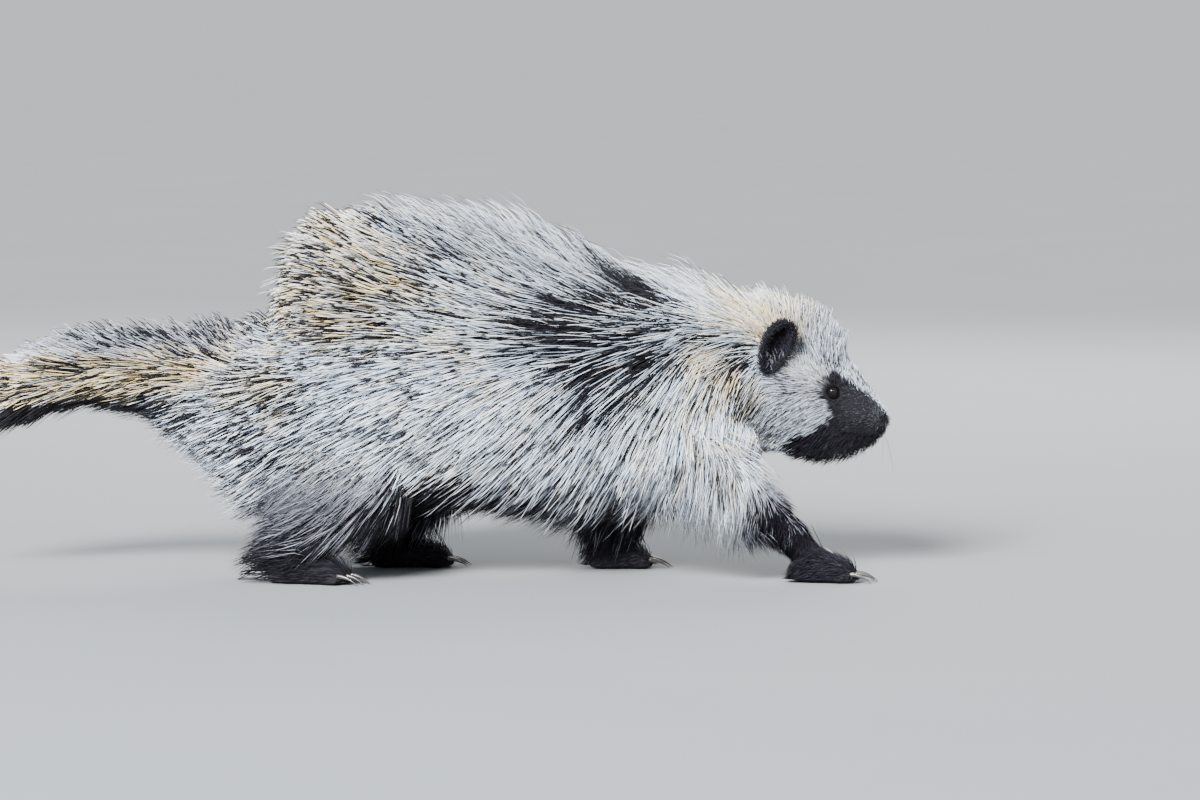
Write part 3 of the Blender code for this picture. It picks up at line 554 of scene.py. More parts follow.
FORE_SOLES = records(
    SoleSection,
    (-0.006, 0.014, 0.004, 0.004, 0.004),
    (-0.001, 0.014, 0.013, 0.012, 0.017),
    (0.014, 0.016, 0.017, 0.016, 0.022),
    (0.031, 0.013, 0.019, 0.012, 0.018),
    (0.045, 0.010, 0.018, 0.009, 0.014),
    (0.053, 0.008, 0.012, 0.006, 0.010),
    (0.056, 0.008, 0.004, 0.002, 0.003),
)
HIND_SOLES = records(
    SoleSection,
    (-0.006, 0.013, 0.004, 0.004, 0.004),
    (0.000, 0.014, 0.014, 0.012, 0.018),
    (0.018, 0.016, 0.017, 0.016, 0.022),
    (0.042, 0.013, 0.019, 0.013, 0.018),
    (0.060, 0.011, 0.020, 0.010, 0.014),
    (0.071, 0.008, 0.014, 0.006, 0.010),
    (0.075, 0.008, 0.004, 0.002, 0.003),
)
LIMBS = (
    Limb(
        "fore",
        RIGHT,
        records(
            LimbSection,
            (0.216, 0.040, 0.165, 0.034, 0.040, 0.040),
            (0.258, 0.058, 0.116, 0.029, 0.042, 0.038),
            (0.310, 0.066, 0.076, 0.023, 0.030, 0.026),
            (0.348, 0.066, 0.048, 0.018, 0.020, 0.020),
            (0.368, 0.065, 0.026, 0.016, 0.016, 0.016),
            (0.374, 0.065, 0.012, 0.012, 0.012, 0.012),
        ),
        FORE_SOLES,
        heel_x=0.360,
        foot_y=0.065,
        toe_out=6,
        toes=4,
    ),
    Limb(
        "fore",
        LEFT,
        records(
            LimbSection,
            (0.216, 0.040, 0.165, 0.034, 0.040, 0.040),
            (0.214, 0.058, 0.116, 0.029, 0.038, 0.038),
            (0.200, 0.068, 0.074, 0.023, 0.025, 0.025),
            (0.188, 0.066, 0.044, 0.018, 0.018, 0.018),
            (0.186, 0.065, 0.024, 0.016, 0.016, 0.016),
            (0.187, 0.065, 0.012, 0.012, 0.012, 0.012),
        ),
        FORE_SOLES,
        heel_x=0.172,
        foot_y=0.065,
        toe_out=10,
        toes=4,
    ),
    Limb(
        "hind",
        RIGHT,
        records(
            LimbSection,
            (-0.059, 0.048, 0.175, 0.044, 0.060, 0.060),
            (-0.044, 0.062, 0.120, 0.036, 0.056, 0.058),
            (-0.050, 0.073, 0.080, 0.030, 0.040, 0.044),
            (-0.082, 0.075, 0.048, 0.022, 0.024, 0.026),
            (-0.106, 0.074, 0.024, 0.017, 0.017, 0.018),
            (-0.106, 0.074, 0.012, 0.013, 0.013, 0.013),
        ),
        HIND_SOLES,
        heel_x=-0.124,
        foot_y=0.074,
        toe_out=12,
        toes=5,
    ),
    Limb(
        "hind",
        LEFT,
        records(
            LimbSection,
            (-0.059, 0.048, 0.175, 0.044, 0.060, 0.060),
            (-0.026, 0.062, 0.120, 0.036, 0.056, 0.058),
            (-0.006, 0.073, 0.080, 0.030, 0.040, 0.042),
            (-0.008, 0.075, 0.046, 0.022, 0.024, 0.026),
            (-0.016, 0.074, 0.024, 0.017, 0.017, 0.018),
            (-0.016, 0.074, 0.012, 0.013, 0.013, 0.013),
        ),
        HIND_SOLES,
        heel_x=-0.034,
        foot_y=0.074,
        toe_out=12,
        toes=5,
    ),
)
TRUNK = Trunk()
FLESH_NODES = (
    *("head", "neck", "torso", "rump", "tail_base", "tail_tip"),
    *(f"{limb.name}leg_{SIDE_NAME[limb.side]}" for limb in LIMBS),
    *(f"foot_{limb.name}_{SIDE_NAME[limb.side]}" for limb in LIMBS),
)


# Between which levels the body ends and a leg's reach ends, and between which heights all is foot.
BODY_ENDS = (1.02, 1.25)
LEG_ENDS = (1.25, 1.7)
FOOT_ENDS = (0.02, 0.03)


def limb_share(points: Array) -> Array:
    """How much each point belongs to a leg or foot and not to the body, from 0 to 1."""
    near_leg = np.min([limb.level(points) for limb in LIMBS], axis=0)
    on_leg = ease(TRUNK.level(points), *BODY_ENDS) * (1.0 - ease(near_leg, *LEG_ENDS))
    return np.maximum(on_leg, 1.0 - ease(points[:, 2], *FOOT_ENDS))


def inside_flesh(points: Array) -> Array:
    """Whether points lie under the skin of the body or of a leg."""
    inside = TRUNK.level(points) < 1.0
    for limb in LIMBS:
        inside |= limb.level(points) < 1.0
    return inside


@dataclass(frozen=True)
class Sheet:
    """The unwrap: the body above, its length along U and its girth along V, and each leg's block below."""

    margin: float = 0.02
    body_long: float = 0.95
    body_low: float = 0.36
    body_high: float = 0.61
    leg_step: float = 0.24
    leg_girth: float = 0.92
    leg_high: float = 0.30
    leg_top: float = 0.14
    edges: tuple[float, float] = (0.002, 0.994)

    def places(self, points: Array) -> Array:
        """Places on an unwrap of the skin's own shape.

        Args:
            points: Places on the skin.

        Returns:
            U and V for each point, between 0 and 1.
        """
        first, last = TRUNK.sections[0].x, TRUNK.sections[-1].x
        u = self.margin + self.body_long * (points[:, 0] - first) / (last - first)
        v = self.body_low + self.body_high * TRUNK.turn(points)
        on_leg = limb_share(points) > 0.5
        which = np.argmin([limb.level(points) for limb in LIMBS], axis=0)
        up_leg = np.clip(points[:, 2] / self.leg_top, 0.0, 1.0)
        for k, limb in enumerate(LIMBS):
            chosen = on_leg & (which == k)
            rows = limb.table()[::-1]
            x, y = (np.interp(points[:, 2], rows[:, 2], rows[:, column]) for column in (0, 1))
            turn = np.arctan2(points[:, 1] - y, points[:, 0] - x) / math.tau + 0.5
            u = np.where(chosen, self.margin + self.leg_step * (k + self.leg_girth * turn), u)
            v = np.where(chosen, self.margin + self.leg_high * up_leg, v)
        return np.clip(np.stack((u, v), axis=-1), *self.edges)


SHEET = Sheet()


class Channel(Enum):
    """What a marking adds to the coat. The value is its column in the coat's marks."""

    BLACK = 0
    CREAM = 1
    GREY = 2


@dataclass(frozen=True)
class Marking:
    """A soft-edged patch of the coat as seen from the side, the same on both flanks."""

    x: float
    z: float
    long: float
    tall: float
    amount: float
    tilt: float = 0.0
    edge: tuple[float, float] = (0.55, 1.30)

    def strength(self, points: Array) -> Array:
        """How strongly the patch shows at each point."""
        angle = math.radians(self.tilt)
        dx, dz = points[:, 0] - self.x, points[:, 2] - self.z
        along = (dx * math.cos(angle) + dz * math.sin(angle)) / self.long
        across = (dz * math.cos(angle) - dx * math.sin(angle)) / self.tall
        return self.amount * (1.0 - ease(np.hypot(along, across), *self.edge))


MARKINGS = {
    Channel.BLACK: records(
        Marking,
        (0.150, 0.243, 0.076, 0.038, 0.93, 8), (0.186, 0.202, 0.068, 0.046, 0.86, 42),
        (0.250, 0.232, 0.050, 0.012, 0.48, -10), (0.204, 0.2735, 0.054, 0.0095, 1.0, -27),
        (0.305, 0.200, 0.011, 0.024, 0.55), (0.190, 0.038, 0.075, 0.046, 0.92),
        (0.060, 0.052, 0.140, 0.048, 0.88), (-0.070, 0.026, 0.100, 0.040, 0.72),
        (-0.330, 0.142, 0.130, 0.029, 1.0, 8), (0.350, 0.046, 0.040, 0.038, 0.84),
        (0.372, 0.034, 0.026, 0.026, 1.0), (0.422, 0.176, 0.026, 0.016, 0.30, -38),
        (0.284, 0.100, 0.040, 0.040, 0.15), (-0.300, 0.190, 0.130, 0.024, 0.24, 6),
        (-0.240, 0.236, 0.110, 0.022, 0.60), (0.005, 0.052, 0.040, 0.032, 0.80),
        (-0.060, 0.280, 0.090, 0.065, 0.24), (0.070, 0.305, 0.140, 0.040, 0.36, -10),
        (-0.150, 0.150, 0.060, 0.060, 0.15),
    ),
    Channel.CREAM: records(
        Marking,
        (-0.070, 0.278, 0.080, 0.068, 0.66), (-0.150, 0.200, 0.060, 0.060, 0.42),
        (0.040, 0.245, 0.090, 0.040, 0.20), (0.290, 0.175, 0.040, 0.070, 0.38),
        (0.330, 0.250, 0.065, 0.032, 0.62), (-0.310, 0.185, 0.150, 0.026, 1.0, 6),
        (0.345, 0.248, 0.050, 0.022, 0.34, -22),
    ),
    Channel.GREY: records(
        Marking,
        (-0.280, 0.228, 0.160, 0.022, 0.76), (0.080, 0.315, 0.170, 0.028, 0.36, -12),
        (0.345, 0.060, 0.045, 0.040, 0.80), (0.080, 0.062, 0.180, 0.040, 0.85),
        (-0.080, 0.050, 0.095, 0.066, 0.95), (0.356, 0.162, 0.050, 0.046, 0.70),
        (0.380, 0.222, 0.044, 0.038, 0.55), (0.360, 0.176, 0.016, 0.008, 0.85),
    ),
}


@dataclass(frozen=True)
class FaceMask:
    """The dark face: all that lies ahead of the cheek's edge and under the pale ridge of the nose.

    The cheek's edge is given as x against z, and the ridge's lower edge as z against x.
    """

    cheek_z: tuple[float, ...] = (0.118, 0.124, 0.1302, 0.1367, 0.145, 0.153, 0.164, 0.176, 0.186, 0.1945)
    cheek_x: tuple[float, ...] = (0.349, 0.347, 0.3560, 0.3720, 0.386, 0.390, 0.385, 0.380, 0.383, 0.3930)
    ridge_x: tuple[float, ...] = (0.3950, 0.4080, 0.4256, 0.4360, 0.4470)
    ridge_z: tuple[float, ...] = (0.1945, 0.1870, 0.1735, 0.1640, 0.1520)
    lowest: float = 0.0940
    soft: float = 0.0045
    ragged: Ripple = Ripple(0.0028, 0.010, 91)
    ridge_ragged: float = 0.4

    def strength(self, points: Array) -> Array:
        """How dark the face is at each point, from 0 to 1."""
        x, z = points[:, 0], points[:, 2]
        uneven = self.ragged.at(points)
        ahead = x - np.interp(z, self.cheek_z, self.cheek_x) + uneven
        below = np.interp(x, self.ridge_x, self.ridge_z) - z + self.ridge_ragged * uneven
        inside = ease(ahead, -self.soft, self.soft) * ease(below, -self.soft, self.soft)
        return inside * ease(z, self.lowest, self.lowest + 2 * self.soft)


FACE = FaceMask()
# The heights between which the feet's black ends, and how uneven the black and the cream are.
BLACK_FEET = (0.026, 0.046)
BLACK_RIPPLE = Ripple(0.10, 0.035, 17)
CREAM_RIPPLE = Ripple(0.22, 0.045, 23)
# The black above which a marking is even.
EVEN_BLACK = 0.9


def coat_marks(points: Array) -> Array:
    """How black, cream and grey the coat is.

    Args:
        points: Places on the skin.

    Returns:
        A row of three strengths for each point, in the order of Channel.
    """
    marks = np.zeros((len(points), len(Channel)))
    for channel, patches in MARKINGS.items():
        marks[:, channel.value] = np.max([patch.strength(points) for patch in patches], axis=0)
    black, cream = marks[:, Channel.BLACK.value], marks[:, Channel.CREAM.value]
    black[:] = np.max((black, FACE.strength(points), 1.0 - ease(points[:, 2], *BLACK_FEET)), axis=0)
    black += BLACK_RIPPLE.at(points) * (black < EVEN_BLACK)
    cream += CREAM_RIPPLE.at(points)
    return np.clip(marks, 0.0, 1.0)


@dataclass(frozen=True)
class Lie:
    """How the coat grows at a landmark: its place in side view, length, pitch off the skin, downward sweep.

    The last two numbers are how much it also runs out to the animal's own side, and how much it keeps its
    way where the skin turns off from it.
    """

    x: float
    z: float
    length: float
    pitch: float
    sweep: float
    out: float = 0.0
    stand: float = 0.0


LIES = records(
    Lie,
    (0.217, 0.248, 0.056, 16, 12), (0.250, 0.232, 0.056, 16, 33), (0.270, 0.215, 0.056, 16, 60),
    (0.184, 0.238, 0.064, 15, 14), (0.134, 0.248, 0.062, 16, 6), (0.234, 0.166, 0.070, 16, 64),
    (0.224, 0.200, 0.068, 16, 42), (0.178, 0.166, 0.072, 17, 46), (0.118, 0.149, 0.070, 18, 35),
    (0.150, 0.116, 0.066, 18, 45), (0.066, 0.128, 0.068, 20, 31), (-0.008, 0.166, 0.066, 20, 24),
    (-0.008, 0.221, 0.060, 20, 7), (0.038, 0.259, 0.056, 20, -8), (0.103, 0.277, 0.054, 20, -14),
    (0.184, 0.281, 0.056, 20, -25), (0.250, 0.281, 0.056, 22, -30), (0.297, 0.255, 0.050, 26, -33),
    (0.308, 0.262, 0.034, 34, -45), (0.336, 0.250, 0.022, 48, -66), (0.364, 0.243, 0.018, 60, -92),
    (0.384, 0.232, 0.018, 60, -95), (0.398, 0.212, 0.016, 50, -90), (0.412, 0.198, 0.008, 30, -70),
    (0.364, 0.203, 0.014, 26, -55), (0.354, 0.184, 0.015, 16, -12), (0.364, 0.156, 0.018, 15, 26),
    (0.345, 0.147, 0.021, 16, 40), (0.326, 0.166, 0.030, 18, 55), (0.322, 0.128, 0.046, 22, 72, 0.5, 0.5),
    (0.344, 0.128, 0.022, 14, 50, 0.1, 0.3), (0.364, 0.120, 0.017, 36, 30), (0.388, 0.112, 0.016, 46, 30),
    (0.412, 0.112, 0.014, 46, 30), (0.432, 0.125, 0.006, 25, 15), (0.419, 0.156, 0.004, 14, -8),
    (0.312, 0.193, 0.040, 20, 66), (0.297, 0.220, 0.046, 18, 40), (0.290, 0.175, 0.060, 16, 72),
    (0.308, 0.140, 0.060, 22, 80, 0.5, 0.5), (0.300, 0.112, 0.054, 24, 82, 0.9, 0.5),
    (0.283, 0.100, 0.060, 22, 80, 0.5), (0.233, 0.110, 0.064, 20, 68), (0.200, 0.116, 0.066, 20, 55),
    (0.200, 0.085, 0.078, 20, 72), (0.165, 0.085, 0.074, 18, 62), (0.122, 0.082, 0.058, 18, 42),
    (0.038, 0.091, 0.060, 17, 32), (-0.027, 0.091, 0.062, 18, 32), (-0.083, 0.128, 0.064, 22, 30),
    (-0.120, 0.166, 0.047, 24, 24), (-0.101, 0.231, 0.032, 26, 2), (-0.101, 0.280, 0.040, 42, 18),
    (-0.070, 0.306, 0.056, 46, 4), (-0.020, 0.326, 0.047, 28, -8), (0.040, 0.322, 0.044, 21, -14),
    (0.103, 0.310, 0.044, 19, -20), (0.160, 0.290, 0.052, 19, -28), (0.215, 0.272, 0.060, 22, -30),
    (-0.101, 0.090, 0.062, 22, 34, 0.0, 0.5), (-0.108, 0.060, 0.056, 20, 8, 0.0, 0.8),
    (-0.090, 0.090, 0.062, 22, 22, 0.0, 0.6), (-0.112, 0.030, 0.046, 16, 2, 0.0, 0.8),
    (-0.085, 0.030, 0.050, 14, 4, 0.0, 0.8), (-0.050, 0.060, 0.060, 16, 20, 0.0, 0.7),
    (-0.030, 0.035, 0.044, 14, 20, 0.0, 0.6), (0.010, 0.040, 0.034, 14, 45),
    (0.326, 0.091, 0.038, 13, 86, 1.2), (0.346, 0.064, 0.023, 12, 84, 0.6), (0.365, 0.036, 0.013, 16, 70),
    (0.250, 0.060, 0.050, 18, 74), (0.290, 0.080, 0.056, 20, 84), (0.190, 0.050, 0.032, 14, 70),
    (0.380, 0.018, 0.015, 20, 10), (0.200, 0.018, 0.015, 20, 10), (-0.104, 0.014, 0.024, 16, 0, 0.0, 0.6),
    (-0.070, 0.016, 0.022, 18, 0), (0.020, 0.014, 0.016, 18, 5), (-0.166, 0.216, 0.050, 54, -6, 0.0, 0.4),
    (-0.142, 0.222, 0.044, 46, -20, 0.0, 0.6), (-0.194, 0.214, 0.042, 40, 4), (-0.194, 0.170, 0.050, 20, 14),
    (-0.194, 0.140, 0.052, 22, 36), (-0.160, 0.110, 0.050, 20, 42), (-0.287, 0.214, 0.040, 44, -4),
    (-0.287, 0.185, 0.044, 17, 6), (-0.287, 0.162, 0.034, 16, 10), (-0.380, 0.184, 0.034, 34, 10),
    (-0.380, 0.160, 0.034, 16, 18), (-0.425, 0.140, 0.024, 18, 28),
)


@dataclass(frozen=True)
class CoatField:
    """The coat's length, pitch and direction anywhere on the skin, between its landmarks."""

    landmarks: tuple[Lie, ...] = LIES
    blur: float = 0.007
    middle: float = 0.030
    steepest: float = 0.95

    def read(self, points: Array, normals: Array) -> tuple[Array, Array, Array]:
        """The coat at places on the skin.

        Args:
            points: The places.
            normals: The skin's outward normals there.

        Returns:
            The length, the pitch in radians, and the way the hair lies along the skin.
        """
        rows = rows_of(self.landmarks)
        rows[:, 3:5] = np.radians(rows[:, 3:5])
        square = (points[:, None, 0] - rows[:, 0]) ** 2 + (points[:, None, 2] - rows[:, 1]) ** 2
        weight = 1.0 / (square + self.blur**2) ** 2
        weight /= weight.sum(axis=1, keepdims=True)
        length, pitch = weight @ rows[:, 2], weight @ rows[:, 3]
        back = -(weight @ np.cos(rows[:, 4]))
        down = -(weight @ np.sin(rows[:, 4]))
        side = np.clip(points[:, 1] / self.middle, -1.0, 1.0)
        lie = unit(np.stack((back, (weight @ rows[:, 5]) * side, down), axis=-1))
        outward = (lie * normals).sum(axis=1)
        pitch = pitch + (weight @ rows[:, 6]) * np.arcsin(np.clip(outward, 0.0, self.steepest))
        return length, pitch, unit(lie - normals * outward[:, None])


FIELD = CoatField()
# The share of its length at which a strand comes to view.
SEEN_AT = 0.55


def seen_at(roots: Array, normals: Array, length: Array, pitch: Array, lie: Array) -> Array:
    """Where strands come to view, past the ones that lie over their roots."""
    return roots + (lie + normals * np.sin(pitch)[:, None]) * (length * SEEN_AT)[:, None]


def seen_places(roots: Array, normals: Array) -> Array:
    """Where strands of the coat's usual length come to view."""
    return seen_at(roots, normals, *FIELD.read(roots, normals))


class Hide:
    """A surface that strands are rooted in, read once from a finished mesh."""

    def __init__(self, obj: Object) -> None:
        """Reads an object's vertices, normals and triangles."""
        obj.data.calc_loop_triangles()
        corners = np.empty(len(obj.data.loop_triangles) * 3, dtype=np.int32)
        obj.data.loop_triangles.foreach_get("vertices", corners)
        self.triangles = corners.reshape(-1, 3)
        self.points = vertices_of(obj)
        self.normals = vertices_of(obj, "normal")
        a, b, c = (self.points[self.triangles[:, k]] for k in range(3))
        self.middles = (a + b + c) / 3.0
        self.areas = np.linalg.norm(np.cross(b - a, c - a), axis=1) / 2.0
        self.facing = unit(self.normals[self.triangles].sum(axis=1))

    def scatter(self, count: int, density: Array, draw: np.random.Generator) -> tuple[Array, Array]:
        """Roots spread over the surface, nearly even wherever the density is even.

        Args:
            count: How many roots.
            density: How thickly each triangle is set, as a relative number.
            draw: The source of chance.

        Returns:
            The roots and the outward normals there.
        """
        share = np.cumsum(self.areas * density)
        picks = (np.arange(count) + draw.random(count)) / count * share[-1]
        chosen = self.triangles[np.searchsorted(share, picks)]
        u, v = draw.random((2, count))
        over = u + v > 1.0
        u, v = np.where(over, 1.0 - u, u), np.where(over, 1.0 - v, v)
        blend = np.stack((1.0 - u - v, u, v), axis=-1)[..., None]
        return (self.points[chosen] * blend).sum(axis=1), unit((self.normals[chosen] * blend).sum(axis=1))


@dataclass(frozen=True)
class Strand:
    """A kind of strand: where its rings stand, how wide it is there, and how it bends.

    A ring has three corners. Beyond the last ring the strand runs to a point.
    """

    stops: tuple[float, ...]
    widths: tuple[float, ...]
    width: float
    flatness: float
    root_pitch: float
    tip_pitch: float
    droop: float
    stray: float
    sink: float


QUILL = Strand(
    stops=(0.0, 0.42, 0.89), widths=(0.60, 1.0, 0.74), width=0.00200, flatness=0.90,
    root_pitch=1.45, tip_pitch=0.55, droop=0.02, stray=6.0, sink=0.0020,
)
GUARD = Strand(
    stops=(0.0, 0.36, 0.74), widths=(0.75, 1.0, 0.70), width=0.00070, flatness=0.80,
    root_pitch=1.50, tip_pitch=0.35, droop=0.12, stray=8.0, sink=0.0015,
)
HAIR = Strand(
    stops=(0.0, 0.55), widths=(0.80, 1.0), width=0.00080, flatness=0.80,
    root_pitch=1.50, tip_pitch=0.35, droop=0.10, stray=8.0, sink=0.0015,
)
WOOL = Strand(
    stops=(0.0, 0.50), widths=(0.80, 1.0), width=0.00120, flatness=0.60,
    root_pitch=1.50, tip_pitch=0.20, droop=0.05, stray=22.0, sink=0.0015,
)
FUR = Strand(
    stops=(0.0, 0.45), widths=(0.90, 1.0), width=0.00050, flatness=0.70,
    root_pitch=1.50, tip_pitch=0.40, droop=0.02, stray=8.0, sink=0.0008,
)


@dataclass(frozen=True)
class Hollow:
    """An ellipsoid that the coat keeps out of."""

    inverse: Matrix

    @classmethod
    def round(cls, place: Matrix, half: tuple[float, float, float]) -> "Hollow":
        """The hollow of an ellipsoid with these half sizes, at a place."""
        return cls((place @ Matrix.Diagonal((*half, 1.0))).inverted())

    def holds(self, points: Array) -> Array:
        """Whether points lie inside."""
        return np.linalg.norm(moved(points, self.inverse), axis=-1) < 1.0


@dataclass
class Tufts:
    """Strands as arrays, ready to be made one mesh."""

    kind: Strand
    roots: Array
    normals: Array
    lies: Array
    length: Array
    pitch: Array
    width: Array
    tone: Array
    tip: Array
    marks: Array
    leader: Array | None = None
    clump: float = 0.0

    def spine(self) -> Array:
        """The strands' middle lines: their points from root to tip."""
        stops = np.array((*self.kind.stops, 1.0))
        start = self.pitch * self.kind.root_pitch
        change = self.pitch * self.kind.tip_pitch - start
        change = np.where(np.abs(change) < LEAST_BEND, LEAST_BEND, change)
        angle = start[:, None] + change[:, None] * stops
        along = (np.sin(angle) - np.sin(start)[:, None]) / change[:, None]
        rise = (np.cos(start)[:, None] - np.cos(angle)) / change[:, None]
        arc = self.lies[:, None] * along[..., None] + self.normals[:, None] * rise[..., None]
        points = self.roots[:, None] + arc * self.length[:, None, None]
        points[..., 2] -= self.kind.droop * self.length[:, None] * stops**2
        points -= self.normals[:, None] * self.kind.sink
        if self.clump > 0:
            share = (self.clump * stops**1.5)[:, None]
            points = points * (1.0 - share) + points[self.leader] * share
        points[..., 2] = np.maximum(points[..., 2], LOWEST)
        far = np.abs(points[..., 1])
        past = np.maximum(far - SIDE_ROOM, 0.0)
        given = SIDE_GIVE * (1.0 - np.exp(-past / SIDE_GIVE))
        points[..., 1] = np.sign(points[..., 1]) * (far - past + given)
        return points

    def gather(self, size: int, share: float) -> None:
        """Draws strands together towards the tips of a few leaders.

        Args:
            size: How many strands a clump has on average.
            share: How far each tip goes to its leader's, from 0 to 1.
        """
        leaders = np.arange(0, len(self.roots), size)
        tree = KDTree(len(leaders))
        for k in leaders:
            tree.insert(Vector(self.roots[k]), int(k))
        tree.balance()
        self.leader = np.array([tree.find(Vector(root))[1] for root in self.roots])
        self.clump = share

    def keep(self, chosen: Array) -> None:
        """Drops all strands but the chosen ones."""
        if self.clump > 0:
            chosen = chosen & chosen[self.leader]
            numbers = np.cumsum(chosen) - 1
            self.leader = numbers[self.leader[chosen]]
        for name in ("roots", "normals", "lies", "length", "pitch", "width", "tone", "tip", "marks"):
            setattr(self, name, getattr(self, name)[chosen])

    def clear(self, hollows: list["Hollow"]) -> None:
        """Drops the strands that would cross an eye or the cup of an ear."""
        points = self.spine()
        crossing = np.zeros(len(points), dtype=bool)
        for hollow in hollows:
            crossing |= hollow.holds(points).any(axis=1)
        self.keep(~crossing)

    def lift_clear(self, rounds: int = 5, step: float = 8.0) -> None:
        """Raises the strands that would pass under the skin further on."""
        for _ in range(rounds):
            points = self.spine()
            under = inside_flesh(points[:, -1]) | inside_flesh(points[:, -2])
            if not under.any():
                return
            self.pitch = self.pitch + np.radians(step) * under

    def shape(self) -> tuple[Array, list[Array]]:
        """The strands' vertices and faces."""
        spine = self.spine()
        count, knots, _ = spine.shape
        ahead = np.empty_like(spine)
        ahead[:, 1:-1] = spine[:, 2:] - spine[:, :-2]
        ahead[:, 0], ahead[:, -1] = spine[:, 1] - spine[:, 0], spine[:, -1] - spine[:, -2]
        ahead = unit(ahead)
        side = unit(np.cross(ahead, self.normals[:, None]))
        up = np.cross(side, ahead)
        angle = np.radians((90.0, 210.0, 330.0))
        half = self.width[:, None] * np.array(self.kind.widths) / 2.0
        high = np.sin(angle) * self.kind.flatness
        corners = side[:, :-1, None] * np.cos(angle)[:, None] + up[:, :-1, None] * high[:, None]
        rings = spine[:, :-1, None] + corners * half[:, :, None, None]
        points = np.concatenate((rings.reshape(count, -1, 3), spine[:, -1:]), axis=1)
        ring = knots - 1
        quads, fans = [], [(0, 1, 2)]
        for k in range(ring - 1):
            for j in range(3):
                a, b = 3 * k + j, 3 * k + (j + 1) % 3
                quads.append((a, a + 3, b + 3, b))
        top = 3 * (ring - 1)
        fans.extend((top + j, 3 * ring, top + (j + 1) % 3) for j in range(3))
        base = (np.arange(count) * (3 * ring + 1))[:, None, None]
        return points.reshape(-1, 3), [
            (base + np.array(quads)).reshape(-1, 4),
            (base + np.array(fans)).reshape(-1, 3),
        ]

    def build(self, name: str) -> Object:
        """One joined mesh of all the strands, with its attributes and its unwrap."""
        points, faces = self.shape()
        obj = mesh_object(name, points, faces)
        each = 3 * len(self.kind.stops) + 1
        stops = np.append(np.repeat(self.kind.stops, 3), 1.0)
        count = len(self.roots)
        strand = np.empty((count, each, 3))
        strand[..., 0] = stops
        strand[..., 1] = self.tone[:, None]
        strand[..., 2] = self.tip[:, None]
        give_attribute(obj, "strand", strand.reshape(-1, 3))
        give_attribute(obj, "marks", np.repeat(self.marks, each, axis=0))
        patch = np.tile((0.0, 0.5, 1.0), len(self.kind.stops))
        patch = np.stack((np.append(patch, 0.5), stops), axis=-1) * PATCH
        places = SHEET.places(self.roots)[:, None] + patch
        layer = obj.data.uv_layers.new(name=UNWRAP)
        corners = np.empty(len(obj.data.loops), dtype=np.int32)
        obj.data.loops.foreach_get("vertex_index", corners)
        layer.data.foreach_set("uv", places.reshape(-1, 2)[corners].astype(np.float32).ravel())
        return obj


def put(tree: Tree, kind: str, settings: dict | None = None, **inputs: object) -> bpy.types.Node:
    """Adds a shader node.

    Args:
        tree: The tree that it goes into.
        kind: Its type.
        settings: Its own properties.
        **inputs: Its inputs, each a value or a socket to link, by name with spaces as underlines or as i and
            the input's number.

    Returns:
        The node.
    """
    node = tree.nodes.new(kind)
    for name, value in (settings or {}).items():
        setattr(node, name, value)
    for name, value in inputs.items():
        numbered = name[0] == "i" and name[1:].isdigit()
        socket = node.inputs[int(name[1:]) if numbered else name.replace("_", " ")]
        if isinstance(value, Socket):
            tree.links.new(value, socket)
        else:
            socket.default_value = value
    return node


def maths(tree: Tree, operation: str, *values: object, clamp: bool = False) -> Socket:
    """The result of a Math node."""
    settings = {"operation": operation, "use_clamp": clamp}
    inputs = {f"i{k}": value for k, value in enumerate(values)}
    return put(tree, "ShaderNodeMath", settings, **inputs).outputs[0]


def mix(tree: Tree, share: object, first: object, second: object, blend: str = "MIX") -> Socket:
    """The result of a colour Mix node."""
    settings = {"data_type": "RGBA", "blend_type": blend}
    return put(tree, "ShaderNodeMix", settings, i0=share, i6=first, i7=second).outputs[2]


def rgba(colour: Colour) -> tuple[float, float, float, float]:
    """A colour with full alpha."""
    return (*colour, 1.0)


# How a strand's own tone adds to its cream and to its shade: each a factor and an offset.
CREAM_BY_TONE = (0.80, -0.48)
SHADE_BY_TONE = (0.70, 0.50)


def coat_colour_group() -> Tree:
    """The group that gives skin and coat their colour from the coat's marks, built once."""
    name = "coat_markings"
    found = bpy.data.node_groups.get(name)
    if found:
        return found
    tree = bpy.data.node_groups.new(name, "ShaderNodeTree")
    kinds = {"Marks": "NodeSocketVector", "Tone": "NodeSocketFloat", "Black Share": "NodeSocketFloat"}
    for label in ("Marks", "Tone", "White", "Cream", "Grey", "Black", "Black Share"):
        kind = kinds.get(label, "NodeSocketColor")
        tree.interface.new_socket(label, in_out="INPUT", socket_type=kind)
    tree.interface.new_socket("Color", in_out="OUTPUT", socket_type="NodeSocketColor")
    given = tree.nodes.new("NodeGroupInput").outputs
    marks = put(tree, "ShaderNodeSeparateXYZ", i0=given["Marks"]).outputs
    cream = maths(tree, "MULTIPLY_ADD", given["Tone"], *CREAM_BY_TONE)
    cream = maths(tree, "ADD", marks[Channel.CREAM.value], cream, clamp=True)
    colour = mix(tree, cream, given["White"], given["Cream"])
    colour = mix(tree, marks[Channel.GREY.value], colour, given["Grey"])
    shade = maths(tree, "MULTIPLY_ADD", given["Tone"], *SHADE_BY_TONE)
    colour = mix(tree, 1.0, colour, shade, "MULTIPLY")
    colour = mix(tree, given["Black Share"], colour, given["Black"])
    put(tree, "NodeGroupOutput", Color=colour)
    return tree


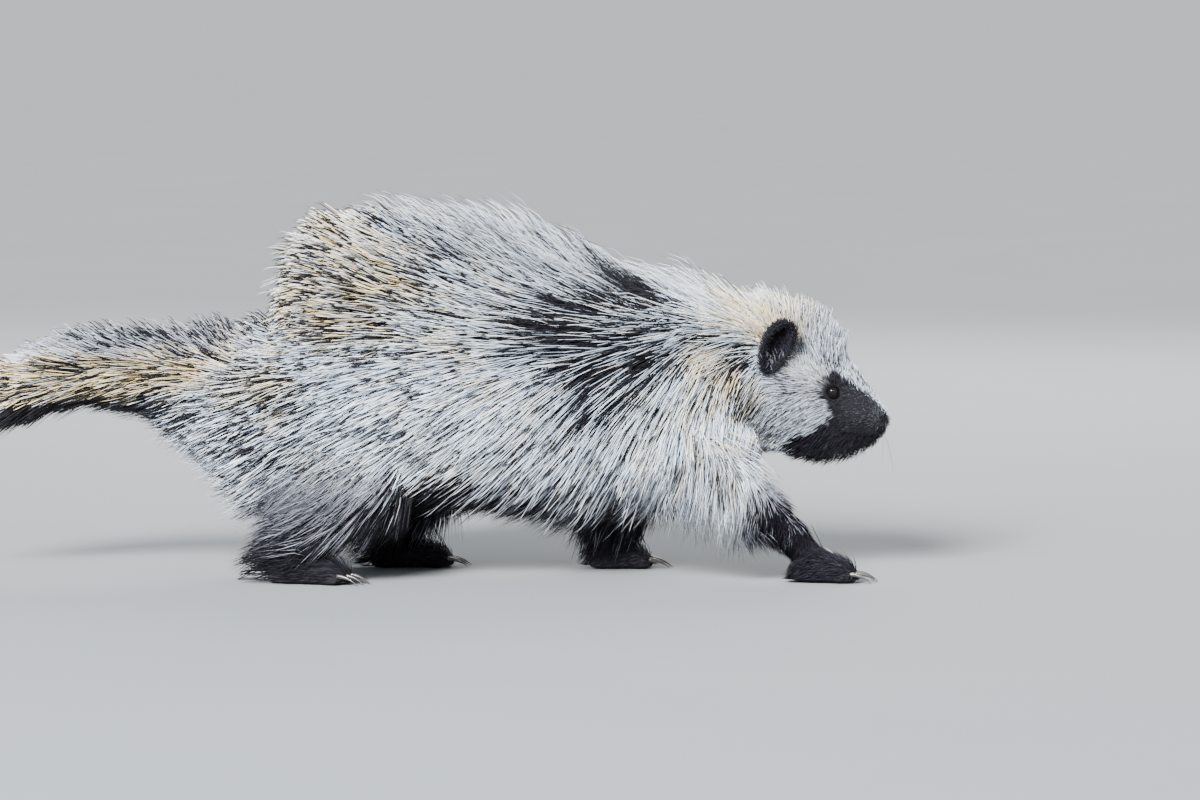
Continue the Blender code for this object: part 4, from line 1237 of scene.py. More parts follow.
@dataclass(frozen=True)
class Finish:
    """What a piece is made of."""

    name: str

    def material(self) -> bpy.types.Material:
        """The material, made once."""
        made = bpy.data.materials.get(self.name)
        if made is None:
            made = bpy.data.materials.new(self.name)
            made.use_nodes = True
            self.dress(made.node_tree, made.node_tree.nodes["Principled BSDF"])
        return made

    def dress(self, tree: Tree, shader: bpy.types.Node) -> None:
        """Adds the nodes and values of the finish to its shader."""
        raise NotImplementedError


@dataclass(frozen=True)
class MarkedFinish(Finish):
    """A finish in the coat's own markings."""

    white: Colour
    cream: Colour
    grey: Colour
    black: Colour
    roughness: float
    gloss: float

    def marked(self, tree: Tree, tone: Socket) -> Socket:
        """The colour that the piece's marks and a tone give."""
        marks = put(tree, "ShaderNodeAttribute", {"attribute_name": "marks"}).outputs["Vector"]
        group = put(
            tree,
            "ShaderNodeGroup",
            {"node_tree": coat_colour_group()},
            Marks=marks,
            Tone=tone,
            White=rgba(self.white),
            Cream=rgba(self.cream),
            Grey=rgba(self.grey),
            Black=rgba(self.black),
            Black_Share=put(tree, "ShaderNodeSeparateXYZ", i0=marks).outputs[Channel.BLACK.value],
        )
        return group.outputs["Color"]

    def surface(self, tree: Tree, shader: bpy.types.Node, colour: Socket) -> None:
        """Gives the shader its colour, roughness and gloss."""
        tree.links.new(colour, shader.inputs["Base Color"])
        shader.inputs["Roughness"].default_value = self.roughness
        shader.inputs["Specular IOR Level"].default_value = self.gloss


@dataclass(frozen=True)
class CoatFinish(MarkedFinish):
    """Quills and hair: pale, cream or grey shafts with dark tips, and strands that are dark all along."""

    # The white is the quills' own pale colour with a painted cool tint that stands in for the blue sky light
    # on them.
    white: Colour = (0.78, 0.87, 0.98)
    cream: Colour = (0.81, 0.61, 0.29)
    grey: Colour = (0.24, 0.24, 0.27)
    black: Colour = (0.006, 0.005, 0.008)
    roughness: float = 0.45
    gloss: float = 0.16
    tip: Colour = (0.012, 0.009, 0.010)
    tip_soft: float = 0.045
    # The root colour is painted shade: each strand's lower part darkens towards it, standing in for the shade
    # deep in the coat where strands lie over one another.
    root: Colour = (0.050, 0.040, 0.034)
    root_shade_reach: float = 0.50
    root_shade_share: float = 0.75
    grain_scale: float = 420.0
    grain: tuple[float, float] = (0.86, 1.06)

    def dress(self, tree: Tree, shader: bpy.types.Node) -> None:
        """Marked colour, darkened towards the root with painted shade, with a dark tip and a fine grain."""
        strand = put(tree, "ShaderNodeAttribute", {"attribute_name": "strand"}).outputs["Vector"]
        along, tone, tip = put(tree, "ShaderNodeSeparateXYZ", i0=strand).outputs
        # Painted shade: over the lower part of the strand the colour darkens towards the root colour.
        reach, share = self.root_shade_reach, self.root_shade_share
        root = put(tree, "ShaderNodeMapRange", i0=along, i1=0.0, i2=reach, i3=share, i4=0.0)
        colour = mix(tree, root.outputs[0], self.marked(tree, tone), rgba(self.root))
        edge = maths(tree, "ADD", tip, self.tip_soft)
        smooth = {"interpolation_type": "SMOOTHSTEP"}
        tipped = put(tree, "ShaderNodeMapRange", smooth, i0=along, i1=tip, i2=edge)
        colour = mix(tree, tipped.outputs[0], colour, rgba(self.tip))
        place = put(tree, "ShaderNodeTexCoord").outputs["Object"]
        fine = put(tree, "ShaderNodeTexNoise", Vector=place, Scale=self.grain_scale, Detail=2.0)
        low, high = self.grain
        grain = put(tree, "ShaderNodeMapRange", i0=fine.outputs["Fac"], i1=0.3, i2=0.7, i3=low, i4=high)
        self.surface(tree, shader, mix(tree, 1.0, colour, grain.outputs[0], "MULTIPLY"))


@dataclass(frozen=True)
class SkinFinish(MarkedFinish):
    """The skin with its short flat fur."""

    name: str = "skin"
    white: Colour = (0.52, 0.54, 0.57)
    cream: Colour = (0.30, 0.24, 0.17)
    grey: Colour = (0.16, 0.16, 0.17)
    black: Colour = (0.010, 0.009, 0.011)
    roughness: float = 0.78
    gloss: float = 0.08
    fur_drawn: tuple[float, float, float] = (0.30, 1.0, 0.55)
    fur_scale: float = 900.0
    fur_depth: float = 0.0012
    fur_strength: float = 0.7

    def dress(self, tree: Tree, shader: bpy.types.Node) -> None:
        """Marked colour, toned and roughened by a noise drawn out along the body."""
        place = put(tree, "ShaderNodeTexCoord").outputs["Object"]
        drawn = put(tree, "ShaderNodeMapping", i0=place, Scale=self.fur_drawn).outputs[0]
        fine = put(tree, "ShaderNodeTexNoise", Vector=drawn, Scale=self.fur_scale, Detail=3.0).outputs["Fac"]
        self.surface(tree, shader, self.marked(tree, fine))
        bump = put(tree, "ShaderNodeBump", Height=fine, Distance=self.fur_depth, Strength=self.fur_strength)
        tree.links.new(bump.outputs[0], shader.inputs["Normal"])


@dataclass(frozen=True)
class PlainFinish(Finish):
    """A single substance with a fine grain in its colour and surface: horn, wet eye or bare rim."""

    colour: Colour
    light: Colour
    roughness: float
    coat: float = 0.0
    coat_roughness: float = 0.03
    scale: float = 300.0
    depth: float = 0.0002
    gloss: float = 0.5

    def dress(self, tree: Tree, shader: bpy.types.Node) -> None:
        """Two tones of one colour mixed by a noise, which also roughens the surface where it has depth."""
        place = put(tree, "ShaderNodeTexCoord").outputs["Object"]
        noise = put(tree, "ShaderNodeTexNoise", Vector=place, Scale=self.scale, Detail=4.0).outputs["Fac"]
        colour = mix(tree, noise, rgba(self.colour), rgba(self.light))
        tree.links.new(colour, shader.inputs["Base Color"])
        if self.depth:
            bump = put(tree, "ShaderNodeBump", Height=noise, Distance=self.depth, Strength=0.5)
            tree.links.new(bump.outputs[0], shader.inputs["Normal"])
        shader.inputs["Roughness"].default_value = self.roughness
        shader.inputs["Coat Weight"].default_value = self.coat
        shader.inputs["Coat Roughness"].default_value = self.coat_roughness
        shader.inputs["Specular IOR Level"].default_value = self.gloss


COAT_FINISH = CoatFinish("quill_and_hair")
FUR_FINISH = CoatFinish("short_fur", black=(0.007, 0.005, 0.009), roughness=0.65, gloss=0.06, root_shade_reach=0.25)
# The underfur's near-black is partly the animal's own dark wool and partly painted shade, so that the gaps
# between the quills read dark.
WOOL_FINISH = CoatFinish(
    "underfur",
    white=(0.030, 0.026, 0.024),
    cream=(0.040, 0.030, 0.022),
    grey=(0.018, 0.017, 0.018),
    roughness=0.75,
    gloss=0.06,
)
SKIN_FINISH = SkinFinish()
HORN = PlainFinish("claw_horn", (0.018, 0.015, 0.013), (0.055, 0.046, 0.038), roughness=0.32, coat=0.25)
EYE_BLACK = PlainFinish(
    *("eye_black", (0.002, 0.002, 0.002), (0.005, 0.003, 0.003)),
    roughness=0.03, scale=700.0, depth=0.0, gloss=0.30,
)
LID_SKIN = PlainFinish(
    "lid_skin", (0.002, 0.002, 0.002), (0.004, 0.003, 0.004), roughness=0.90, scale=900.0, gloss=0.05
)
FLOOR = PlainFinish(
    *("studio_floor", (0.265, 0.265, 0.265), (0.285, 0.285, 0.285)),
    roughness=0.95, scale=3.0, depth=0.0, gloss=0.1,
)


@dataclass
class SkinPiece:
    """The one skin over body, legs and feet."""

    name: str = "skin"
    voxel: float = 0.0028
    smoothing: int = 3
    eye_x: float = 0.3935
    eye_z: float = 0.1750
    nostril_y: float = 0.0095
    nostril_z: float = 0.1495
    mouth_z: float = 0.1305
    mouth_back: float = 0.398
    # How far each form stands out, and how wide it is.
    eye_hollow: tuple[float, float] = (-0.0016, 0.0075)
    brow: tuple[float, float] = (0.0014, 0.007)
    nostril: tuple[float, float] = (-0.0042, 0.0024)
    nostril_rim: tuple[float, float] = (0.0008, 0.0016)
    philtrum: tuple[float, float] = (-0.0010, 0.0012)
    mouth: tuple[float, float] = (-0.0020, 0.0016)
    upper_lip: tuple[float, float] = (0.0011, 0.0026)
    lower_lip: tuple[float, float] = (0.0008, 0.0024)
    # The x before which all is dark under the coat, and how dark.
    under_coat: float = 0.80
    under_ends: tuple[float, float] = (0.285, 0.315)

    def rough(self) -> Object:
        """Body, legs, feet and toes as closed shells that pass through each other."""
        lofts = [TRUNK.loft()]
        for limb in LIMBS:
            lofts.extend((limb.loft(), limb.foot_loft()))
            lofts.extend(limb.toe_loft(k) for k in range(limb.toes))
        return loft_object(self.name, lofts)

    def sculpt(self, obj: Object) -> None:
        """Presses in the eye hollows, the nostrils and the mouth, and raises brow, lips and nose."""

        def form(kind: tuple[float, float], distance: Array, power: int = 2) -> Array:
            """A form's height at a distance from its middle."""
            return kind[0] * bell(distance, kind[1], power)

        points, normals = vertices_of(obj), vertices_of(obj, "normal")
        x, y, z = points.T
        far = np.abs(y)
        on_side = ease(far, 0.015, 0.03)
        move = form(self.eye_hollow, np.hypot(x - self.eye_x, z - self.eye_z)) * on_side
        move += form(self.brow, np.hypot(x - self.eye_x + 0.002, z - self.eye_z - 0.011)) * on_side
        front = ease(x, 0.425, 0.438)
        slit = np.hypot((far - self.nostril_y) / 0.8, (z - self.nostril_z) + 0.5 * (far - self.nostril_y))
        move += form(self.nostril, slit, 4) * front
        move += form(self.nostril_rim, slit - 0.0042) * front
        height, width = self.philtrum
        groove = bell(y, width) * ease(-z, -self.nostril_z, -self.nostril_z + 0.008)
        move += height * groove * front * ease(z, self.mouth_z - 0.002, self.mouth_z)
        line = self.mouth_z + 0.0035 * ease(self.mouth_back + 0.03 - x, 0.0, 0.03)
        reach = ease(x, self.mouth_back, self.mouth_back + 0.008)
        move += form(self.mouth, z - line) * reach
        move += form(self.upper_lip, z - line - 0.0042) * reach
        move += form(self.lower_lip, z - line + 0.0040) * reach
        set_vertices(obj, points + normals * move[:, None])

    def refine_muzzle(self, obj: Object) -> None:
        """Divides the faces of the muzzle once more, so that nostrils and lips keep their shape."""
        take_up(obj)
        bpy.ops.object.mode_set(mode="EDIT")
        bpy.ops.mesh.select_mode(type="FACE")
        bpy.ops.mesh.select_all(action="DESELECT")
        bm = bmesh.from_edit_mesh(obj.data)
        for face in bm.faces:
            face.select_set(face.calc_center_median().x > self.mouth_back - 0.012)
        bmesh.update_edit_mesh(obj.data)
        bpy.ops.mesh.subdivide(number_cuts=1, smoothness=1.0)
        bpy.ops.object.mode_set(mode="OBJECT")

    def build(self) -> Object:
        """The finished skin with its marks."""
        obj = self.rough()
        remesh = obj.modifiers.new("one_skin", "REMESH")
        remesh.mode = "VOXEL"
        remesh.voxel_size = self.voxel
        remesh.use_smooth_shade = True
        smooth = obj.modifiers.new("soften", "SMOOTH")
        smooth.factor = 0.5
        smooth.iterations = self.smoothing
        apply_modifiers(obj)
        self.refine_muzzle(obj)
        self.sculpt(obj)
        obj.data.shade_smooth()
        points = vertices_of(obj)
        marks = coat_marks(points)
        under = self.under_coat * (1.0 - ease(points[:, 0], *self.under_ends))
        marks[:, Channel.BLACK.value] = np.maximum(marks[:, Channel.BLACK.value], under)
        give_attribute(obj, "marks", marks)
        obj.data.materials.clear()
        return hand_over(obj, SKIN_FINISH, Slot.COAT, *FLESH_NODES)


@dataclass(frozen=True)
class Growth:
    """One piece of the coat: what grows, where, and how many."""

    name: str
    kind: Strand
    count: int
    where: Where
    seed: int
    longer: float = 1.0
    steeper: float = 0.0
    spread: tuple[float, float] = (0.50, 1.45)
    wider: float = 1.0
    full_width_at: float = 1e-9
    tip: tuple[float, float] = (0.80, 0.93)
    tipped: float = 0.6
    black: float = 1.0
    darkest: float = 0.975
    clump: float = 0.30
    clump_size: int = 7
    finish: CoatFinish = COAT_FINISH
    # How strands of all growths differ: factors, and the fields that they turn and rise in, in radians.
    lengths: tuple[float, float] = (0.72, 1.12)
    widths: tuple[float, float] = (0.75, 1.15)
    creams: tuple[float, float] = (0.45, 1.5)
    solid_black: tuple[float, float] = (0.88, 0.98)
    turns: tuple[Ripple, Ripple] = records(Ripple, (math.radians(5), 0.030, 5), (math.radians(4), 0.011, 6))
    rises: Ripple = Ripple(math.radians(3), 0.018, 8)
    flattest: float = 0.03

    def grow(self, hide: Hide, hollows: list[Hollow]) -> Tufts:
        """The strands of this piece on a hide.

        Args:
            hide: The surface that they are rooted in.
            hollows: What the coat keeps out of.

        Returns:
            The strands as arrays.
        """
        draw = np.random.default_rng(self.seed)
        density = self.where(hide.middles, hide.facing)
        roots, normals = hide.scatter(self.count, density, draw)
        length, pitch, lie = FIELD.read(roots, normals)
        swing = np.radians(self.kind.stray) * draw.normal(size=self.count)
        swing += self.turns[0].at(roots) + self.turns[1].at(roots)
        side = np.cross(normals, lie)
        lie = unit(lie * np.cos(swing)[:, None] + side * np.sin(swing)[:, None])
        length = length * self.longer * draw.uniform(*self.lengths, self.count)
        pitch = pitch * draw.uniform(*self.spread, self.count) + np.radians(self.steeper)
        pitch += self.rises.at(roots)
        marks = coat_marks(seen_at(roots, normals, length, pitch, lie))
        black, cream = marks[:, Channel.BLACK.value], marks[:, Channel.CREAM.value]
        dark = draw.random(self.count) < np.maximum(black * self.black, ease(black, *self.solid_black))
        black[:] = np.where(dark, draw.uniform(self.darkest, 1.0, self.count), 0.0)
        cream[:] = np.clip(cream * draw.uniform(*self.creams, self.count), 0.0, 1.0)
        tipped = draw.random(self.count) < self.tipped
        tip = np.where(tipped, draw.uniform(*self.tip, self.count), NO_TIP)
        width = self.kind.width * self.wider * draw.uniform(*self.widths, self.count)
        width = width * np.clip(length / self.full_width_at, 0.5, 1.0)
        tone = draw.random(self.count)
        pitch = np.maximum(pitch, self.flattest)
        tufts = Tufts(self.kind, roots, normals, lie, length, pitch, width, tone, tip, marks)
        tufts.gather(self.clump_size, self.clump)
        tufts.lift_clear()
        tufts.clear(hollows)
        return tufts

    def build(self, hide: Hide, hollows: list[Hollow]) -> Object:
        """The piece, dressed and handed over."""
        return hand_over(self.grow(hide, hollows).build(self.name), self.finish, Slot.COAT)


# Between which x the tail goes over into the rump, and the shoulder into the neck.
TAIL_ROOT = (-0.150, -0.120)
SHOULDER = (0.200, 0.235)
# Between which y a flank's own coat begins, past the middle plane.
MIDDLE = (-0.001, 0.001)


def trunk_only(points: Array) -> Array:
    """1 on the body and 0 on the legs."""
    return 1.0 - limb_share(points)


def black_seen(points: Array, facing: Array) -> Array:
    """How black the coat is where strands that are rooted here come to view."""
    return coat_marks(seen_places(points, facing))[:, Channel.BLACK.value]


def on_back(side: int) -> Where:
    """Where the long quills of one flank grow, from the rump to the shoulder."""

    def where(points: Array, facing: Array) -> Array:
        along = within(points[:, 0], *TAIL_ROOT, *SHOULDER)
        kept = along * trunk_only(points) * ease(points[:, 1] * side, *MIDDLE)
        bare = 1.0 - 0.5 * ease(-facing[:, 2], 0.3, 0.9)
        return kept * bare * (1.0 - 0.80 * black_seen(points, facing))

    return where


def dark_hair_and_shade_on_back(side: int) -> Where:
    """Where the thin black hair among the quills of one flank grows, thickest in the dark markings: partly
    the animal's own dark hair and partly painted shade that darkens the gaps between the quills.
    """

    def where(points: Array, facing: Array) -> Array:
        along = within(points[:, 0], -0.440, -0.400, 0.300, 0.330)
        kept = along * trunk_only(points) * ease(points[:, 1] * side, *MIDDLE)
        neck = 1.0 - 0.85 * ease(points[:, 0], 0.235, 0.280)
        return kept * neck * (0.75 + 2.1 * black_seen(points, facing))

    return where


def on_tail(points: Array, facing: Array) -> Array:
    """Where the quills of the tail grow."""
    return (1.0 - ease(points[:, 0], *TAIL_ROOT)) * (1.0 - 0.4 * ease(-facing[:, 2], 0.2, 0.7))


def on_neck(points: Array, facing: Array) -> Array:
    """Where the quills of the neck, cape and crown grow."""
    length = FIELD.read(points, facing)[0]
    kept = ease(points[:, 0], *SHOULDER) * ease(length, 0.0145, 0.020) * trunk_only(points)
    return kept * (1.0 - 0.9 * FACE.strength(points))


def on_trunk(points: Array, facing: Array) -> Array:
    """Where wool grows, all over the body but the face."""
    return trunk_only(points) * (1.0 - ease(points[:, 0], 0.30, 0.33))


def with_guard(points: Array, facing: Array) -> Array:
    """Where guard hair shows: along the belly, on the tail's sides and thinly elsewhere."""
    belly = 1.0 - ease(points[:, 2], 0.09, 0.14)
    tail = 1.0 - ease(points[:, 0], -0.19, -0.15)
    neck = 1.0 - ease(points[:, 0], 0.31, 0.33)
    return trunk_only(points) * neck * (0.25 + 1.3 * belly + 0.9 * tail)


def on_ridge(points: Array, facing: Array) -> Array:
    """Where the longest thin hairs grow, along the back from the loins to the nape."""
    return within(points[:, 0], -0.02, 0.10, 0.27, 0.31) * ease(facing[:, 2], 0.55, 0.85)


def on_rump(points: Array, facing: Array) -> Array:
    """Where the raised quills of the rump grow."""
    return within(points[:, 0], *TAIL_ROOT, -0.03, 0.02) * ease(points[:, 2], 0.22, 0.28)


def on_crown(points: Array, facing: Array) -> Array:
    """Where the upright quills of crown and forehead grow."""
    along = within(points[:, 0], 0.285, 0.310, 0.395, 0.408)
    return along * ease(facing[:, 2], 0.25, 0.60) * ease(points[:, 2], 0.185, 0.205)


def on_face(points: Array, facing: Array) -> Array:
    """Where short fur grows on the head, thickest where it is shortest."""
    length = FIELD.read(points, facing)[0]
    return ease(points[:, 0], 0.305, 0.335) * (1.0 + 1.2 * ease(-length, -0.014, -0.006))


def on_legs(points: Array, facing: Array) -> Array:
    """Where fur grows on legs and feet, but not under the soles."""
    return limb_share(points) * ease(points[:, 2], 0.003, 0.006) * (1.0 - ease(-facing[:, 2], 0.75, 0.95))


def on_thighs(points: Array, facing: Array) -> Array:
    """Where long hair grows on the legs, down to the heels of the hind ones."""
    heel = ease(-points[:, 0], 0.070, 0.090)
    return limb_share(points) * ease(points[:, 2], 0.034 - 0.020 * heel, 0.052 - 0.028 * heel)


def on_throat(points: Array, facing: Array) -> Array:
    """Where pale hair hangs from cheek and throat over the top of the foreleg."""
    along = within(points[:, 0], 0.285, 0.305, 0.332, 0.350)
    return along * trunk_only(points) * (1.0 - ease(points[:, 2], 0.145, 0.170))


def on_chest(points: Array, facing: Array) -> Array:
    """Where the longest dark hair hangs, under the chest behind the forelegs."""
    along = within(points[:, 0], 0.080, 0.120, 0.230, 0.270)
    return along * trunk_only(points) * (1.0 - ease(points[:, 2], 0.095, 0.120))


def on_pale_face(points: Array, facing: Array) -> Array:
    """Where dark hairs stand singly among the pale fur of head and cheek."""
    return on_face(points, facing) * (1.0 - FACE.strength(points)) * (1.0 - ease(points[:, 0], 0.395, 0.410))


def on_flank(points: Array, facing: Array) -> Array:
    """Where single long pale hairs overlie the coat, thickest over the dark shoulder."""
    along = within(points[:, 0], -0.120, -0.060, 0.240, 0.280)
    shoulder = ease(points[:, 0], 0.060, 0.130)
    return trunk_only(points) * along * (0.25 + shoulder) * ease(points[:, 2], 0.095, 0.125)


def on_muzzle_frost_and_sheen(points: Array, facing: Array) -> Array:
    """Where pale-flecked hairs stand in the dark fur between brow and nose, thickest at the nose tip: partly
    the muzzle's own frosting and partly a painted sheen of light grazing its velvet fur.
    """
    nose = 1.0 + 2.0 * ease(points[:, 0], 0.428, 0.438)
    return FACE.strength(points) * nose * ease(points[:, 0], 0.398, 0.415) * ease(points[:, 2], 0.138, 0.150)


def on_both_flanks(
    name: str, kind: Strand, count: int, where: Callable[[int], Where], seeds: tuple[int, int], **more: object
) -> tuple[Growth, ...]:
    """A growth for each flank, the right one first, with its own seed."""
    return tuple(
        Growth(f"{name}_{SIDE_NAME[side]}", kind, count, where(side), seed, **more)
        for side, seed in zip((RIGHT, LEFT), seeds)
    )


GROWTHS = (
    *on_both_flanks(
        *("quills", QUILL, 7600, on_back, (101, 102)),
        wider=0.74, black=0.92, tipped=0.85, tip=(0.70, 0.91), clump=0.12,
    ),
    # Thin black hair among the quills: partly the animal's own dark hair, partly painted shade for the gaps
    # between the quills.
    *on_both_flanks(
        *("dark_hair", HAIR, 10500, dark_hair_and_shade_on_back, (113, 114)),
        wider=1.2, black=9.0, clump=0.15,
    ),
    Growth(
        *("long_hair", QUILL, 3000, on_flank, 115),
        wider=0.46, longer=1.32, steeper=3.0, black=0.0, tipped=0.3, clump=0.2,
    ),
    Growth("quills_tail", QUILL, 6600, on_tail, 103, wider=0.66, black=0.9),
    Growth("quills_neck", QUILL, 8800, on_neck, 104, wider=0.62, black=0.8),
    Growth("throat_hair", HAIR, 3000, on_throat, 116, black=0.0, tipped=0.5),
    Growth("chest_hair", HAIR, 3500, on_chest, 117, wider=1.1, longer=1.15, steeper=4.0, tipped=0.3),
    Growth(
        *("quills_rump", QUILL, 1800, on_rump, 109),
        wider=0.88, longer=1.05, steeper=15.0, tipped=0.8, tip=(0.82, 0.92),
    ),
    Growth(
        *("quills_crown", QUILL, 1900, on_crown, 110),
        wider=0.5, longer=1.55, steeper=5.0, tipped=0.2, clump=0.62, clump_size=6,
    ),
    Growth(
        *("ridge_hair", GUARD, 1500, on_ridge, 111),
        wider=1.3, longer=1.7, steeper=18.0, tip=(0.80, 0.90), clump=0.2,
    ),
    Growth(
        *("guard_hair", GUARD, 5000, with_guard, 105),
        longer=1.20, steeper=3.0, black=1.15, tip=(0.92, 0.98), clump=0.4,
    ),
    # Dark wool: partly the animal's own, partly painted shade in the gaps between the quills.
    Growth("underfur", WOOL, 10000, on_trunk, 106, longer=0.50, steeper=5.0, tipped=0.0, finish=WOOL_FINISH),
    Growth(
        *("face_fur", FUR, 13000, on_face, 107),
        wider=1.7, full_width_at=0.016, tip=(0.80, 0.92), tipped=0.5, finish=FUR_FINISH,
    ),
    Growth(
        *("face_dark_hair", HAIR, 5400, on_pale_face, 118),
        wider=0.9, black=9.0, clump=0.1, finish=FUR_FINISH,
    ),
    # Pale flecks on the muzzle: partly real frosting, partly a painted sheen of grazing light.
    Growth(
        *("muzzle_frost_and_sheen", FUR, 1800, on_muzzle_frost_and_sheen, 119),
        wider=0.9, longer=1.15, darkest=0.86, tipped=0.0, clump=0.1,
    ),
    Growth(
        *("leg_fur", FUR, 8500, on_legs, 108),
        wider=1.4, longer=0.75, darkest=0.93, tipped=0.3, finish=FUR_FINISH,
    ),
    Growth("leg_hair", HAIR, 8500, on_thighs, 112, wider=1.1, tipped=0.3, clump_size=10),
)


@dataclass
class Eye:
    """An eyeball with a clear bulge of cornea, and the rim of its lids."""

    side: int
    bulge: float = 0.05
    lid_radius: float = 0.0011
    lid_long: float = 1.22
    lid_high: float = 0.98
    lid_seat: float = 0.90
    lid_thin: float = 0.30
    corner_thick: float = 0.25
    open_share: float = 0.52
    corner_drop: float = 0.30
    lid_rings: tuple[int, int] = (48, 12)
    look: tuple[float, float, float] = (0.34, 0.93, 0.10)
    cornea: tuple[float, float] = (0.72, 0.98)

    def centre(self) -> tuple[Vector, float]:
        """The eye's middle and radius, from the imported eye."""
        low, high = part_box(f"eye_{SIDE_NAME[self.side]}")
        return (low + high) / 2, (high.x - low.x) / 2

    def hollow(self) -> Hollow:
        """The room that the eye and its lids need."""
        middle, radius = self.centre()
        reach = radius * self.lid_long
        return Hollow.round(Matrix.Translation(middle), (reach, reach, reach))

    def gaze(self) -> Vector:
        """The way the eye looks: outwards, a little forwards and up."""
        ahead, out, up = self.look
        return Vector((ahead, self.side * out, up)).normalized()

    def ball(self) -> Object:
        """The eyeball."""
        middle, radius = self.centre()
        deselect_all()
        bpy.ops.mesh.primitive_uv_sphere_add(segments=40, ring_count=24, radius=radius, location=middle)
        obj = bpy.context.active_object
        obj.name = f"eyeball_{SIDE_NAME[self.side]}"
        obj.rotation_mode = "QUATERNION"
        obj.rotation_quaternion = self.gaze().to_track_quat("Z", "Y")
        settle(obj)
        points = vertices_of(obj)
        ways = unit(points - np.array(middle))
        front = ease(ways @ np.array(self.gaze()), *self.cornea)
        set_vertices(obj, points + ways * (radius * self.bulge * front)[:, None])
        obj.data.shade_smooth()
        return hand_over(obj, EYE_BLACK, Slot.EYE, f"eye_{SIDE_NAME[self.side]}")

    def lids(self) -> Object:
        """The soft rim of both lids, drawn out to the corners."""
        middle, radius = self.centre()
        turn = np.array(self.gaze().to_track_quat("Z", "X").to_matrix())
        around, across = self.lid_rings
        a, b = (math.tau * np.arange(count) / count for count in self.lid_rings)
        corner = np.abs(np.cos(a)) ** 6
        out = np.stack((np.cos(a) * self.lid_high, np.sin(a) * self.lid_long, np.zeros(around)), axis=-1)
        thick = self.lid_radius * (1.0 - self.lid_thin * np.abs(np.sin(a)) ** 8 + self.corner_thick * corner)
        centres = out * radius * self.lid_seat
        centres[:, 2] = radius * (self.open_share - self.corner_drop * np.abs(np.sin(a)) ** 4)
        outward = unit(out)[:, None] * (np.cos(b)[None, :, None] * thick[:, None, None])
        upward = UPWARD * (np.sin(b)[None, :, None] * thick[:, None, None])
        points = (centres[:, None] + outward + upward).reshape(-1, 3) @ turn.T + np.array(middle)
        i, j = np.meshgrid(np.arange(around), np.arange(across), indexing="ij")
        here, side = i * across + j, i * across + (j + 1) % across
        ahead, beyond = (i + 1) % around * across + j, (i + 1) % around * across + (j + 1) % across
        faces = np.stack((here, ahead, beyond, side), axis=-1).reshape(-1, 4)
        obj = mesh_object(f"lids_{SIDE_NAME[self.side]}", points, [faces])
        return hand_over(obj, LID_SKIN, Slot.DARK_FUR)

    def build(self) -> None:
        """Eyeball and lids."""
        self.ball()
        self.lids()


